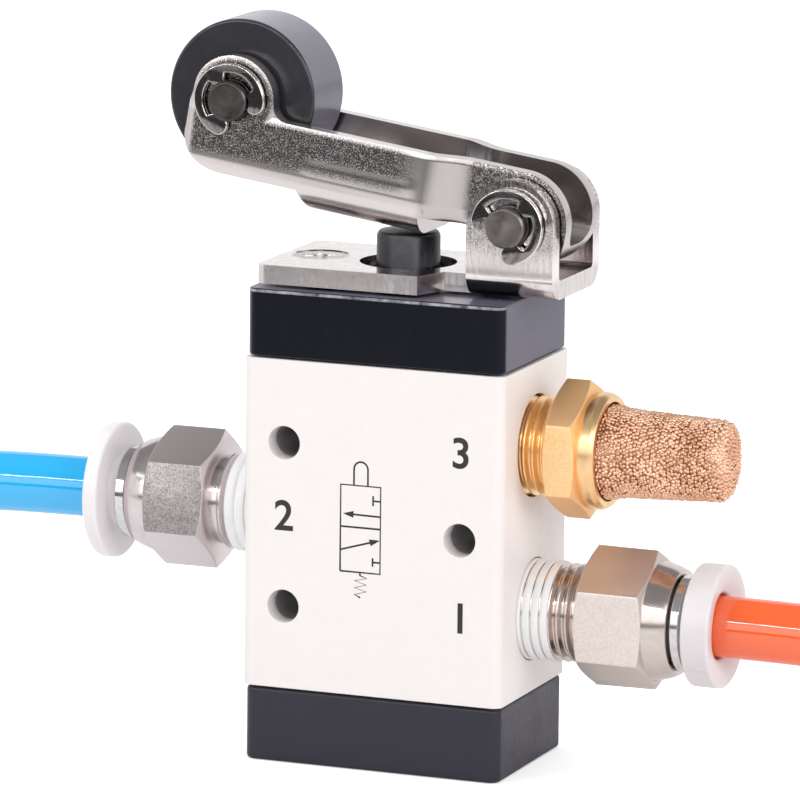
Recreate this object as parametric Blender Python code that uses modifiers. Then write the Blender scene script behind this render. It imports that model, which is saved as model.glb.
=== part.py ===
"""Roller lever air valve: a three-port, two-position spool valve with a pressed steel lever and roller.

Frame: metres, +Z up, the origin at the middle of the base. X runs along the front face, from the outlet
port on the left to the supply and exhaust ports on the right. The front face looks along -Y.
"""
import math

import bmesh
import bpy
from mathutils import Matrix

# Valve block and its two end caps
BODY_WIDTH = 0.0270
BODY_DEPTH = 0.0183
BODY_CORNER = 0.0010
BODY_EDGE = 0.0003
BOTTOM_CAP_HEIGHT = 0.0075
TOP_CAP_HEIGHT = 0.0068
CAP_INSET = 0.0002
CAP_CORNER = 0.0011
CAP_EDGE = 0.0005
SEAM = 0.0002

# Clearances
GAP = 0.0003
RUN = 0.0002
OVERCUT = 0.001

# Ports, bore and mounting holes of the block
PORT_TO_HOLE_WALL = 0.00139
PORT_DEPTH = 0.0075
PASSAGE_RADIUS = 0.0022
THREAD_RADIUS = 0.00486
THREAD_GRIP = 0.0040
THREAD_CHAMFER = 0.0005
BORE_RADIUS = 0.0040
CHAMBER_RADIUS = 0.0050
CHAMBER_HEIGHT = 0.0044
MOUNT_HOLE_RADIUS = 0.00165
MOUNT_HOLE_TO_SIDE = 0.00435

# Countersunk screws
SCREW_TO_SIDE = 0.0043
SCREW_RADIUS = 0.0015
SCREW_TIP_WALL = 0.0008
SCREW_HEAD_RADIUS = 0.00272
SCREW_HEAD_HEIGHT = 0.0016
SCREW_RECESS_DEPTH = 0.0008
SCREW_RECESS_WIDTH = 0.0006
SCREW_RECESS_LENGTH = 0.0030
SCREW_SUNK = 0.0001

# Lever bracket
BRACKET_THICKNESS = 0.00185
BRACKET_TO_SIDE = 0.00065
BRACKET_HALF_DEPTH = 0.00785
BRACKET_CORNER = 0.0010
NOTCH_START = 0.0040
NOTCH_SLANT = 0.0014
NOTCH_HALF_DEPTH = 0.0042
EAR_HALF_WIDTH = 0.00653
EAR_RADIUS = 0.00443
BEND_RADIUS = 0.0005
PLATE_HOLE_RADIUS = 0.00475

# Pins and their retaining clips
PIVOT_TO_SIDE = 0.00062
PIVOT_RISE = 0.00531
PIN_RADIUS = 0.0020
PIN_CHAMFER = 0.0002
PIN_END = 0.00155
GROOVE_RADIUS = 0.0016
CLIP_RADIUS = 0.00365
CLIP_THICKNESS = 0.0007
CLIP_LOBE_RADIUS = 0.00272
CLIP_MOUTH = 38.0
CLIP_PRONG = 22.0
PIVOT_CLIP_TURN = 225.0
ROLLER_CLIP_TURN = 300.0

# Lever, measured in its own frame with the pivot as origin
REST_TILT = 8.0
PRESS_ANGLE = 12.0
LEVER_THICKNESS = 0.0015
LEVER_WIDE = 0.0061
LEVER_NARROW = 0.0044
LEVER_BEND = 0.0035
LEVER_CREST = 0.0050
WEB_DROP = 0.0033
SKIRT_DROP = 0.0013
PAD_FRONT = 0.0214
PAD_BACK = 0.0097
PAD_SLANT = 0.0011
TAIL_WEB_START = 0.0040
JOGGLE_START = 0.0095
JOGGLE_END = 0.0051
NOSE_RADIUS = 0.0043
NOSE_BLEND = 0.0016
NOSE_OVERHANG = 0.00518
NOSE_CHIN = 0.0033
NOSE_WRAP = 0.0020

# Roller
ROLLER_REACH = 0.03012
ROLLER_RISE = 0.00618
ROLLER_RADIUS = 0.00759
ROLLER_HALF_WIDTH = 0.00387
ROLLER_EDGE = 0.0003
ROLLER_SLOT = 0.0044

# Plunger, bush and wiper
PLUNGER_RADIUS = 0.0031
PLUNGER_DOME = 0.0150
PLUNGER_EDGE = 0.0004
COLLAR_RADIUS = 0.0037
COLLAR_HEIGHT = 0.0011
BUSH_RADIUS = 0.0043
BUSH_SEAT_DEPTH = 0.0052
WIPER_HEIGHT = 0.0010

# Spool, seals and return spring
SPOOL_LAND_RADIUS = 0.0037
SPOOL_GROOVE_RADIUS = 0.0026
SPOOL_WAIST_RADIUS = 0.0023
SPOOL_RIM = 0.00045
SPOOL_TOP_RIM = 0.00026
GROOVE_WIDTH = 0.0015
SEAL_WIRE = 0.0005
SEAL_RING = 0.0033
SEAL_OVERLAP = 0.0010
SPIGOT_RADIUS = 0.0018
SPIGOT_HEIGHT = 0.0008
SPRING_RADIUS = 0.00235
SPRING_WIRE = 0.00028
SPRING_TURNS = 6.5
POCKET_RADIUS = 0.0032
POCKET_FLOOR = 0.0018

# Tube fittings, the same where one size is given
HEX_ACROSS_FLATS = 0.0120
HEX_CHAMFER_RADIUS = 0.0059
HEX_CHAMFER = 0.0004
NECK_RADIUS = 0.0044
NECK_LENGTH = 0.0008
TUBE_RADIUS = 0.0030
# The tube's course: distance outside the fitting's mouth, and how far it has drooped there
TUBE_ROUTE = ((-0.0050, 0), (0.0012, 0), (0.0073, 0.00002), (0.0134, 0.00012), (0.0195, 0.00037), (0.0256, 0.0008))
SOCKET_DEPTH = 0.0112
MOUTH_BORE_RADIUS = 0.0042
MOUTH_BORE_DEPTH = 0.0070
SLEEVE_RADIUS = 0.0038
SLEEVE_DEPTH = 0.0030
CLAW_RADIUS = 0.0040
CLAW_LENGTH = 0.0009
FITTING_SEAL_WIRE = 0.00042
STUD_PASSAGE_RADIUS = 0.0018
FITTING_A_STANDOFF = 0.0057
FITTING_A_HEX_LENGTH = 0.00635
FITTING_A_HEX_TURN = 8.0
FITTING_A_SHOULDER = 0.00245
FITTING_A_MOUTH_RADIUS = 0.0050
FITTING_A_RING_RADIUS = 0.0046
FITTING_A_RING_LENGTH = 0.0010
FITTING_A_FLANGE_RADIUS = 0.00675
FITTING_A_FLANGE_THICKNESS = 0.0015
FITTING_A_FLANGE_GAP = 0.00105
FITTING_P_STANDOFF = 0.0062
FITTING_P_HEX_LENGTH = 0.0069
FITTING_P_HEX_TURN = 0.0
FITTING_P_SHOULDER = 0.00225
FITTING_P_MOUTH_RADIUS = 0.0051
FITTING_P_RING_RADIUS = 0.00475
FITTING_P_RING_LENGTH = 0.0009
FITTING_P_FLANGE_RADIUS = 0.0060
FITTING_P_FLANGE_THICKNESS = 0.00285
FITTING_P_FLANGE_GAP = 0.0006
FLANGE_EDGE = 0.0005
FLANGE_DISH = 0.0006
FLANGE_DISH_RIM = 0.0013

# Exhaust silencer
SILENCER_STANDOFF = 0.0028
SILENCER_HEX_LENGTH = 0.0032
SILENCER_HEX_TURN = -2.0
COLLAR_RING_RADIUS = 0.0057
COLLAR_RING_LENGTH = 0.0018
ELEMENT_LENGTH = 0.0121
ELEMENT_ROOT_RADIUS = 0.0047
ELEMENT_START_RADIUS = 0.00435
ELEMENT_TIP_RADIUS = 0.0039
ELEMENT_TIP_ROUND = 0.0008
ELEMENT_WALL = 0.0016
ELEMENT_SEAT = 0.0009
SILENCER_BORE_RADIUS = 0.0025

# Sides of the turned shapes: what shows, what is hidden inside, and pins and holes
ROUND = 28
ROLLER_SIDES = 36
INNER_ROUND = 14
SMALL_ROUND = 16
SEAL_SIDES = 6
SPRING_SIDES = 10

# Places across the width, which all keep their distance from the block's sides
SIDE = BODY_WIDTH / 2
MOUNT_HOLE_X = SIDE - MOUNT_HOLE_TO_SIDE
SCREW_X = SIDE - SCREW_TO_SIDE
BRACKET_LEFT = SIDE - BRACKET_TO_SIDE
PIVOT_X = SIDE - PIVOT_TO_SIDE

# Levels that follow from the sizes above
def pad_height(tilt):
    """How far above the pivot the underside of the lever's pad crosses the plunger's axis."""
    return (PIVOT_X * math.sin(tilt) - WEB_DROP) / math.cos(tilt)


TILT = math.radians(REST_TILT)
STROKE = pad_height(TILT) - pad_height(TILT - math.radians(PRESS_ANGLE))
PORT_RADIUS = THREAD_RADIUS + RUN
PORT_PITCH = PORT_RADIUS + PORT_TO_HOLE_WALL + MOUNT_HOLE_RADIUS

# From the outer port to the block's end there is room for a pressed seal, the spool's end and the collar
SPOOL_END_STACK = CHAMBER_HEIGHT / 2 + STROKE + GROOVE_WIDTH + SPOOL_TOP_RIM
PORT_TO_END = SPOOL_END_STACK + GAP + COLLAR_HEIGHT + GAP - SEAM
SCREW_GRIP = PORT_TO_END - PORT_RADIUS - SCREW_TIP_WALL
BODY_HEIGHT = 2 * (PORT_PITCH + PORT_TO_END)
BODY_BASE = BOTTOM_CAP_HEIGHT
BODY_TOP = BODY_BASE + BODY_HEIGHT
CAP_TOP = BODY_TOP + TOP_CAP_HEIGHT
PORT_A_Z = BODY_BASE + BODY_HEIGHT / 2
PORT_R_Z = PORT_A_Z + PORT_PITCH
PORT_P_Z = PORT_A_Z - PORT_PITCH
PLATE_BOTTOM = CAP_TOP + GAP
PLATE_TOP = PLATE_BOTTOM + BRACKET_THICKNESS
PIVOT_Z = PLATE_TOP + PIVOT_RISE
NOSE_END = ROLLER_REACH + NOSE_OVERHANG
DOME_CENTRE_Z = PIVOT_Z + pad_height(TILT) - (PLUNGER_DOME + GAP) / math.cos(TILT)
CROWN_Z = DOME_CENTRE_Z + PLUNGER_DOME

for leftover in list(bpy.data.objects):
    bpy.data.objects.remove(leftover, do_unlink=True)


def new_collection(name):
    made = bpy.data.collections.new(name)
    bpy.context.scene.collection.children.link(made)
    return made


PARTS = new_collection("roller_lever_air_valve")
CUTTERS = new_collection("cutters")


def material(name, colour, roughness, metallic=0.0):
    made = bpy.data.materials.new(name)
    made.use_nodes = True
    shader = made.node_tree.nodes["Principled BSDF"]
    shader.inputs["Base Color"].default_value = (*colour, 1.0)
    shader.inputs["Roughness"].default_value = roughness
    shader.inputs["Metallic"].default_value = metallic
    made.diffuse_color = (*colour, 1.0)
    return made


def add_object(name, mesh):
    """A new object among the cutters; finish() moves a finished piece to the parts."""
    made = bpy.data.objects.new(name, mesh)
    made.hide_render = True
    made.display_type = "WIRE"
    CUTTERS.objects.link(made)
    return made


def finish(piece, paint, parent=None):
    """Makes a modelled shape one of the parts, with its own material and its parent."""
    CUTTERS.objects.unlink(piece)
    PARTS.objects.link(piece)
    piece.hide_render = False
    piece.display_type = "TEXTURED"
    piece.data.materials.clear()
    piece.data.materials.append(paint)
    piece.parent = parent
    if piece.type == "MESH":
        piece.data.shade_smooth()
        piece.data.set_sharp_from_angle(angle=math.radians(30))
    return piece


def pivot_empty(name, location, tilt=0.0, parent=None):
    """An empty on a joint's axis, which the moving pieces hang from."""
    made = bpy.data.objects.new(name, None)
    made.location = location
    made.rotation_euler = (0, tilt, 0)
    made.parent = parent
    PARTS.objects.link(made)
    return made


def turned(name, profile, steps=ROUND, closed=False):
    """A profile of (radius, height) points turned round its own Z axis; it runs down the outer side."""
    count = len(profile)
    edges = [(i, i + 1) for i in range(count - 1)]
    if closed:
        edges.append((count - 1, 0))
    mesh = bpy.data.meshes.new(name)
    mesh.from_pydata([(radius, 0, height) for radius, height in profile], edges, [])
    made = add_object(name, mesh)
    screw = made.modifiers.new("turn", "SCREW")
    screw.steps = steps
    screw.render_steps = steps
    screw.use_merge_vertices = True
    screw.merge_threshold = 0.00001
    return made


def ring_profile(inner, outer, low, high):
    """The closed profile of a plain ring."""
    return [(inner, high), (outer, high), (outer, low), (inner, low)]


def rod(name, radius, low, high, steps=ROUND):
    return turned(name, [(0, high), (radius, high), (radius, low), (0, low)], steps)


def along_x(piece, z, side=1):
    """Lays a turned shape along +X, or along -X for side -1, at height z."""
    piece.rotation_euler = (0, math.radians(90 * side), 0)
    piece.location = (0, 0, z)
    return piece


def along_y(piece, x, z):
    piece.rotation_euler = (math.radians(-90), 0, 0)
    piece.location = (x, 0, z)
    return piece


def arc(centre, radius, start, end, steps):
    """Points on an arc, by angles in degrees."""
    turns = [math.radians(start + (end - start) * i / steps) for i in range(steps + 1)]
    return [(centre[0] + radius * math.cos(t), centre[1] + radius * math.sin(t)) for t in turns]


def plate(name, outline, thickness, plane="XY", location=(0, 0, 0)):
    """A flat outline in the given plane, made thick to both sides of it."""
    curve = bpy.data.curves.new(name, "CURVE")
    curve.dimensions = "2D"
    curve.fill_mode = "BOTH"
    curve.extrude = thickness / 2
    spline = curve.splines.new("POLY")
    spline.points.add(len(outline) - 1)
    for point, (x, y) in zip(spline.points, outline):
        point.co = (x, y, 0, 1)
    spline.use_cyclic_u = True
    drawn = bpy.data.objects.new(name, curve)
    CUTTERS.objects.link(drawn)
    bpy.context.view_layer.update()
    mesh = bpy.data.meshes.new_from_object(drawn.evaluated_get(bpy.context.evaluated_depsgraph_get()))
    bpy.data.objects.remove(drawn)
    weld(mesh)
    made = add_object(name, mesh)
    quarter = math.pi / 2
    made.rotation_euler = (quarter * (plane != "XY"), 0, quarter * (plane == "YZ"))
    made.location = location
    return made


def weld(mesh):
    """Joins the loose caps of a mesh made from a curve, and turns its faces outwards."""
    shape = bmesh.new()
    shape.from_mesh(mesh)
    bmesh.ops.remove_doubles(shape, verts=shape.verts, dist=0.000001)
    bmesh.ops.recalc_face_normals(shape, faces=shape.faces)
    shape.to_mesh(mesh)
    shape.free()


def block(name, size, centre, corner=0.0, edge=0.0):
    """A box with rounded upright corners and softened edges at its top and bottom."""
    shape = bmesh.new()
    bmesh.ops.create_cube(shape, size=1)
    bmesh.ops.scale(shape, vec=size, verts=shape.verts)
    bmesh.ops.translate(shape, vec=centre, verts=shape.verts)
    if corner:
        upright = [e for e in shape.edges if abs(e.verts[0].co.z - e.verts[1].co.z) > size[2] / 2]
        bmesh.ops.bevel(shape, geom=upright, offset=corner, segments=4, profile=0.5, affect="EDGES")
    if edge:
        rims = [e for e in shape.edges if abs(e.verts[0].co.z - e.verts[1].co.z) < size[2] / 2]
        bmesh.ops.bevel(shape, geom=rims, offset=edge, segments=2, profile=0.5, affect="EDGES")
    mesh = bpy.data.meshes.new(name)
    shape.to_mesh(mesh)
    shape.free()
    return add_object(name, mesh)


def combine(piece, operation, *others):
    for other in others:
        step = piece.modifiers.new(other.name, "BOOLEAN")
        step.operation = operation
        step.solver = "EXACT"
        step.object = other
    return piece


def cut(piece, *others):
    return combine(piece, "DIFFERENCE", *others)


def port_cutter(name, z, side):
    """Threaded mouth and the narrower passage from it into the bore."""
    floor = SIDE - PORT_DEPTH
    profile = [(0, SIDE + OVERCUT), (PORT_RADIUS, SIDE + OVERCUT), (PORT_RADIUS, floor),
               (PASSAGE_RADIUS, floor), (PASSAGE_RADIUS, 0), (0, 0)]
    return along_x(turned(name, profile), z, side)


def make_valve_body():
    body = block("valve_body", (BODY_WIDTH, BODY_DEPTH, BODY_HEIGHT),
                 (0, 0, (BODY_BASE + BODY_TOP) / 2), BODY_CORNER, BODY_EDGE)
    bore = [(0, BODY_TOP + OVERCUT), (BORE_RADIUS, BODY_TOP + OVERCUT)]
    for z in (PORT_R_Z, PORT_A_Z, PORT_P_Z):
        top = z + CHAMBER_HEIGHT / 2
        bottom = z - CHAMBER_HEIGHT / 2
        bore += [(BORE_RADIUS, top), (CHAMBER_RADIUS, top), (CHAMBER_RADIUS, bottom), (BORE_RADIUS, bottom)]
    bore += [(BORE_RADIUS, BODY_BASE - OVERCUT), (0, BODY_BASE - OVERCUT)]
    cut(body, turned("bore_cutter", bore, INNER_ROUND))
    cut(body, port_cutter("port_a_cutter", PORT_A_Z, -1))
    cut(body, port_cutter("port_r_cutter", PORT_R_Z, 1))
    cut(body, port_cutter("port_p_cutter", PORT_P_Z, 1))
    half = BODY_DEPTH / 2 + OVERCUT
    for name, x, z in (("upper_left", -MOUNT_HOLE_X, PORT_A_Z + PORT_PITCH),
                       ("lower_left", -MOUNT_HOLE_X, PORT_A_Z - PORT_PITCH),
                       ("right", MOUNT_HOLE_X, PORT_A_Z)):
        hole = rod(name + "_mount_hole", MOUNT_HOLE_RADIUS, -half, half, SMALL_ROUND)
        cut(body, along_y(hole, x, z))
    depth = SCREW_GRIP + GAP
    for name, x in (("left", -SCREW_X), ("right", SCREW_X)):
        upper = rod(name + "_upper_tapping", SCREW_RADIUS + RUN, BODY_TOP - depth, BODY_TOP + OVERCUT, SMALL_ROUND)
        lower = rod(name + "_lower_tapping", SCREW_RADIUS + RUN, BODY_BASE - OVERCUT, BODY_BASE + depth, SMALL_ROUND)
        for hole in (upper, lower):
            hole.location.x = x
            cut(body, hole)
    finish(body, material("white_anodised", (0.86, 0.85, 0.83), 0.42))


def cap_block(name, low, high):
    size = (BODY_WIDTH - 2 * CAP_INSET, BODY_DEPTH - 2 * CAP_INSET, high - low)
    return block(name, size, (0, 0, (low + high) / 2), CAP_CORNER, CAP_EDGE)


def make_top_cap():
    cap = cap_block("top_cap", BODY_TOP + SEAM, CAP_TOP)
    seat = BUSH_RADIUS + GAP
    guide = PLUNGER_RADIUS + GAP
    floor = CAP_TOP - BUSH_SEAT_DEPTH
    profile = [(0, CAP_TOP + OVERCUT), (seat, CAP_TOP + OVERCUT), (seat, floor),
               (guide, floor), (guide, BODY_TOP - OVERCUT), (0, BODY_TOP - OVERCUT)]
    cut(cap, turned("bush_seat_cutter", profile, INNER_ROUND))
    for x in (-SCREW_X, SCREW_X):
        hole = rod("top_cap_screw_hole", SCREW_RADIUS + RUN, BODY_TOP - OVERCUT, CAP_TOP + OVERCUT, SMALL_ROUND)
        hole.location.x = x
        cut(cap, hole)
    finish(cap, material("black_moulding", (0.035, 0.036, 0.045), 0.35))


def countersink(name, face_z, end_z):
    """Screw hole with a cone for the head, from face_z to past end_z; it opens upwards or downwards."""
    way = 1 if face_z > end_z else -1
    head = SCREW_HEAD_RADIUS + RUN
    shank = SCREW_RADIUS + RUN
    neck = face_z - way * (SCREW_HEAD_HEIGHT + SCREW_SUNK)
    profile = [(0, face_z + way * OVERCUT), (head, face_z + way * OVERCUT), (head, face_z - way * SCREW_SUNK),
               (shank, neck), (shank, end_z - way * OVERCUT), (0, end_z - way * OVERCUT)]
    return turned(name, profile if way > 0 else profile[::-1], SMALL_ROUND)


def make_bottom_cap():
    cap = cap_block("bottom_cap", 0, BODY_BASE - SEAM)
    cut(cap, rod("spring_pocket_cutter", POCKET_RADIUS, POCKET_FLOOR, BODY_BASE + OVERCUT, INNER_ROUND))
    for x in (-SCREW_X, SCREW_X):
        hole = countersink("bottom_cap_screw_hole", 0, BODY_BASE)
        hole.location.x = x
        cut(cap, hole)
    finish(cap, material("charcoal_moulding", (0.062, 0.060, 0.072), 0.45))


def screw_shape(name, x, face_z, tip_z):
    """Countersunk screw with a cross recess, its head just under face_z."""
    way = 1 if face_z > tip_z else -1
    top = face_z - way * SCREW_SUNK
    neck = top - way * SCREW_HEAD_HEIGHT
    profile = [(0, top), (SCREW_HEAD_RADIUS, top), (SCREW_RADIUS, neck), (SCREW_RADIUS, tip_z), (0, tip_z)]
    screw = turned(name, profile if way > 0 else profile[::-1], SMALL_ROUND)
    screw.location.x = x
    for turn in (45, 135):
        slot = block("cross_recess", (SCREW_RECESS_LENGTH, SCREW_RECESS_WIDTH, 2 * SCREW_RECESS_DEPTH), (0, 0, 0))
        slot.location = (x, 0, top)
        slot.rotation_euler.z = math.radians(turn)
        cut(screw, slot)
    return screw


def make_screws():
    for side, x in (("left", -SCREW_X), ("right", SCREW_X)):
        upper = screw_shape(f"bracket_screw_{side}", x, PLATE_TOP, BODY_TOP - SCREW_GRIP)
        finish(upper, material(f"zinc_upper_{side}", (0.78, 0.76, 0.74), 0.3, 1.0))
        lower = screw_shape(f"bottom_screw_{side}", x, 0, BODY_BASE + SCREW_GRIP)
        finish(lower, material(f"zinc_lower_{side}", (0.78, 0.76, 0.74), 0.3, 1.0))


def channel_outline(half_width, top, bottom, thickness, inner_radius):
    """Cross-section of a sheet bent up at both sides, drawn once round."""
    outer_radius = inner_radius + thickness
    corner = half_width - outer_radius
    right_outer = arc((corner, bottom + outer_radius), outer_radius, -90, 0, 6)
    right_inner = arc((corner, bottom + outer_radius), inner_radius, 0, -90, 4)
    right = right_outer + [(half_width, top), (half_width - thickness, top)] + right_inner
    return right + [(-y, z) for y, z in reversed(right)]


def make_bracket():
    left = -BRACKET_LEFT
    ear_left = PIVOT_X - EAR_RADIUS
    ear_right = PIVOT_X + EAR_RADIUS
    overlap = ear_left + BEND_RADIUS + BRACKET_THICKNESS
    corner = (left + BRACKET_CORNER, BRACKET_HALF_DEPTH - BRACKET_CORNER)
    front = [(overlap, NOTCH_HALF_DEPTH), (NOTCH_START + NOTCH_SLANT, NOTCH_HALF_DEPTH),
             (NOTCH_START, BRACKET_HALF_DEPTH)]
    front += arc(corner, BRACKET_CORNER, 90, 180, 4)
    outline = front + [(x, -y) for x, y in reversed(front)]
    middle_z = (PLATE_BOTTOM + PLATE_TOP) / 2
    bracket = plate("lever_bracket", outline, BRACKET_THICKNESS, "XY", (0, 0, middle_z))

    ear_top = PIVOT_Z + EAR_RADIUS + OVERCUT
    section = channel_outline(EAR_HALF_WIDTH, ear_top, PLATE_BOTTOM, BRACKET_THICKNESS, BEND_RADIUS)
    ears = plate("ear_channel", section, 2 * EAR_RADIUS, "YZ", (PIVOT_X, 0, 0))
    side_view = arc((PIVOT_X, PIVOT_Z), EAR_RADIUS, 0, 180, 16)
    side_view += [(ear_left, PLATE_BOTTOM - OVERCUT), (ear_right, PLATE_BOTTOM - OVERCUT)]
    combine(ears, "INTERSECT", plate("ear_outline", side_view, 4 * EAR_HALF_WIDTH, "XZ"))
    combine(bracket, "UNION", ears)

    cut(bracket, rod("plunger_hole_cutter", PLATE_HOLE_RADIUS, PLATE_BOTTOM - OVERCUT, PLATE_TOP + OVERCUT))
    for x in (-SCREW_X, SCREW_X):
        hole = countersink("bracket_screw_hole", PLATE_TOP, PLATE_BOTTOM)
        hole.location.x = x
        cut(bracket, hole)
    reach = EAR_HALF_WIDTH + OVERCUT
    pin_hole = rod("pivot_hole_cutter", PIN_RADIUS + GAP, -reach, reach, SMALL_ROUND)
    cut(bracket, along_y(pin_hole, PIVOT_X, PIVOT_Z))
    finish(bracket, material("nickel_plated_plate", (0.80, 0.77, 0.76), 0.28, 1.0))


def pin_shape(name, wall):
    """A pin with a clip groove outside the wall at each end."""
    end = wall + PIN_END
    low_groove = wall + GAP / 2
    high_groove = wall + GAP / 2 + CLIP_THICKNESS + GAP
    half = [(0, end), (PIN_RADIUS - PIN_CHAMFER, end), (PIN_RADIUS, end - PIN_CHAMFER),
            (PIN_RADIUS, high_groove), (GROOVE_RADIUS, high_groove),
            (GROOVE_RADIUS, low_groove), (PIN_RADIUS, low_groove)]
    return turned(name, half + [(r, -y) for r, y in reversed(half)], SMALL_ROUND)


def clip_outline(opening):
    """A retaining clip with three prongs in the pin's groove, open towards the given angle."""
    inner = GROOVE_RADIUS + RUN
    start = opening + CLIP_MOUTH
    end = opening + 360 - CLIP_MOUTH
    outline = arc((0, 0), CLIP_RADIUS, start, end, 18)
    half_prong = CLIP_PRONG / 2
    middle = (start + end) / 2
    for centre in (end - half_prong, middle, start + half_prong):
        outline += arc((0, 0), inner, centre + half_prong, centre - half_prong, 2)
        if centre > start + CLIP_PRONG:
            following = middle if centre > middle else start + half_prong
            outline += arc((0, 0), CLIP_LOBE_RADIUS, centre - CLIP_PRONG, following + CLIP_PRONG, 5)
    return outline


def make_clips(name, wall, opening, centre, parent=None):
    """The clips at both ends of a pin, just outside the walls that it passes through."""
    for end, side in (("front", -1), ("back", 1)):
        y = side * (wall + GAP + CLIP_THICKNESS / 2)
        clip = plate(f"{name}_{end}", clip_outline(opening), CLIP_THICKNESS, "XZ", (centre[0], y, centre[1]))
        finish(clip, material(f"{name}_{end}_steel", (0.10, 0.10, 0.11), 0.3, 1.0), parent)


def make_pivot():
    pin = pin_shape("pivot_pin", EAR_HALF_WIDTH)
    finish(along_y(pin, PIVOT_X, PIVOT_Z), material("pivot_pin_steel", (0.20, 0.19, 0.20), 0.35, 1.0))
    make_clips("pivot_clip", EAR_HALF_WIDTH, PIVOT_CLIP_TURN, (PIVOT_X, PIVOT_Z))


def lever_half_width(x):
    """Half of the channel's outside width at x: wrapped round at the nose, narrower between the ears."""
    wrap = x - (NOSE_WRAP - NOSE_END)
    if wrap < 0:
        return LEVER_WIDE - NOSE_WRAP + math.sqrt(max(NOSE_WRAP ** 2 - wrap ** 2, 0))
    share = (x + JOGGLE_START) / (JOGGLE_START - JOGGLE_END)
    share = min(max(share, 0), 1)
    return LEVER_WIDE - (LEVER_WIDE - LEVER_NARROW) * (1 - math.cos(math.pi * share)) / 2


def lever_section(half_width, top):
    """Outer line of the channel from the top of one wall, round the web, to the top of the other."""
    bend = arc((LEVER_BEND - half_width, LEVER_BEND - WEB_DROP), LEVER_BEND, 180, 270, 6)
    left = [(-half_width, top), (-half_width, (top - WEB_DROP + LEVER_BEND) / 2)] + bend
    return left + [(-y, z) for y, z in reversed(left)]


def lever_stations():
    """Places along the lever where its section changes."""
    wrap = [NOSE_WRAP - NOSE_END - NOSE_WRAP * math.cos(math.radians(a)) for a in range(0, 91, 15)]
    joggle = [-JOGGLE_START + (JOGGLE_START - JOGGLE_END) * i / 8 for i in range(9)]
    return wrap + joggle + [LEVER_CREST + OVERCUT]


def lever_sheet():
    """The pressed channel before trimming: its outer surface as a grid, thickened inwards."""
    top = ROLLER_RISE + NOSE_RADIUS + OVERCUT
    stations = lever_stations()
    sections = [lever_section(lever_half_width(x), top) for x in stations]
    across = len(sections[0])
    shape = bmesh.new()
    bmesh.ops.create_grid(shape, x_segments=len(stations) - 1, y_segments=across - 1, size=1)
    shape.verts.ensure_lookup_table()
    rows = sorted(shape.verts, key=lambda v: (round(v.co.y, 5), round(v.co.x, 5)))
    for index, vertex in enumerate(rows):
        place, station = divmod(index, len(stations))
        y, z = sections[station][place]
        vertex.co = (stations[station], y, z)
    bmesh.ops.reverse_faces(shape, faces=shape.faces)
    mesh = bpy.data.meshes.new("lever")
    shape.to_mesh(mesh)
    shape.free()
    sheet = add_object("lever", mesh)
    wall = sheet.modifiers.new("sheet", "SOLIDIFY")
    wall.thickness = LEVER_THICKNESS
    wall.offset = -1
    wall.use_even_offset = True
    return sheet


def lever_side_view():
    """Side outline of the trimmed channel: tail, crest, nose, chin, skirt and the step to the pad."""
    low = -WEB_DROP - OVERCUT
    pin = (-ROLLER_REACH - GAP, ROLLER_RISE)
    step_slope = PAD_SLANT / (WEB_DROP - SKIRT_DROP)
    outline = arc((0, 0), LEVER_CREST, -60, 90, 12)
    blend_z = LEVER_CREST + NOSE_BLEND
    span = NOSE_RADIUS + NOSE_BLEND
    blend_x = pin[0] + math.sqrt(span ** 2 - (blend_z - pin[1]) ** 2)
    meeting = math.degrees(math.atan2(blend_z - pin[1], blend_x - pin[0]))
    outline += arc((blend_x, blend_z), NOSE_BLEND, 270, 180 + meeting, 4)
    outline += arc(pin, NOSE_RADIUS, meeting, 180, 12)
    outline += arc((NOSE_CHIN - NOSE_END, NOSE_CHIN - SKIRT_DROP), NOSE_CHIN, 180, 270, 6)
    outline += [(-PAD_FRONT - PAD_SLANT, -SKIRT_DROP), (-PAD_FRONT + step_slope * OVERCUT, low)]
    return outline


def make_lever(frame):
    lever = lever_sheet()
    wide = 4 * LEVER_WIDE
    trim = plate("lever_outline", lever_side_view(), wide, "XZ")
    trim.parent = frame
    combine(lever, "INTERSECT", trim)

    window_top = -SKIRT_DROP
    window_low = -WEB_DROP - 2 * OVERCUT
    window = block("joggle_window", (PAD_BACK - TAIL_WEB_START, wide, window_top - window_low),
                   (-(PAD_BACK + TAIL_WEB_START) / 2, 0, (window_top + window_low) / 2))
    slot_back = ROLLER_REACH - OVERCUT
    slot = block("roller_slot", (NOSE_END - slot_back + OVERCUT, 2 * ROLLER_SLOT, 4 * ROLLER_RADIUS),
                 (-(NOSE_END + slot_back + OVERCUT) / 2, 0, 0))
    pivot_hole = along_y(rod("lever_pivot_hole", PIN_RADIUS + GAP, -wide, wide, SMALL_ROUND), 0, 0)
    roller_hole = along_y(rod("lever_roller_hole", PIN_RADIUS + GAP, -wide, wide, SMALL_ROUND),
                          -ROLLER_REACH, ROLLER_RISE)
    for cutter in (window, slot, pivot_hole, roller_hole):
        cutter.parent = frame
        cut(lever, cutter)
    finish(lever, material("nickel_plated_lever", (0.72, 0.69, 0.68), 0.3, 1.0), frame)


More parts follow.
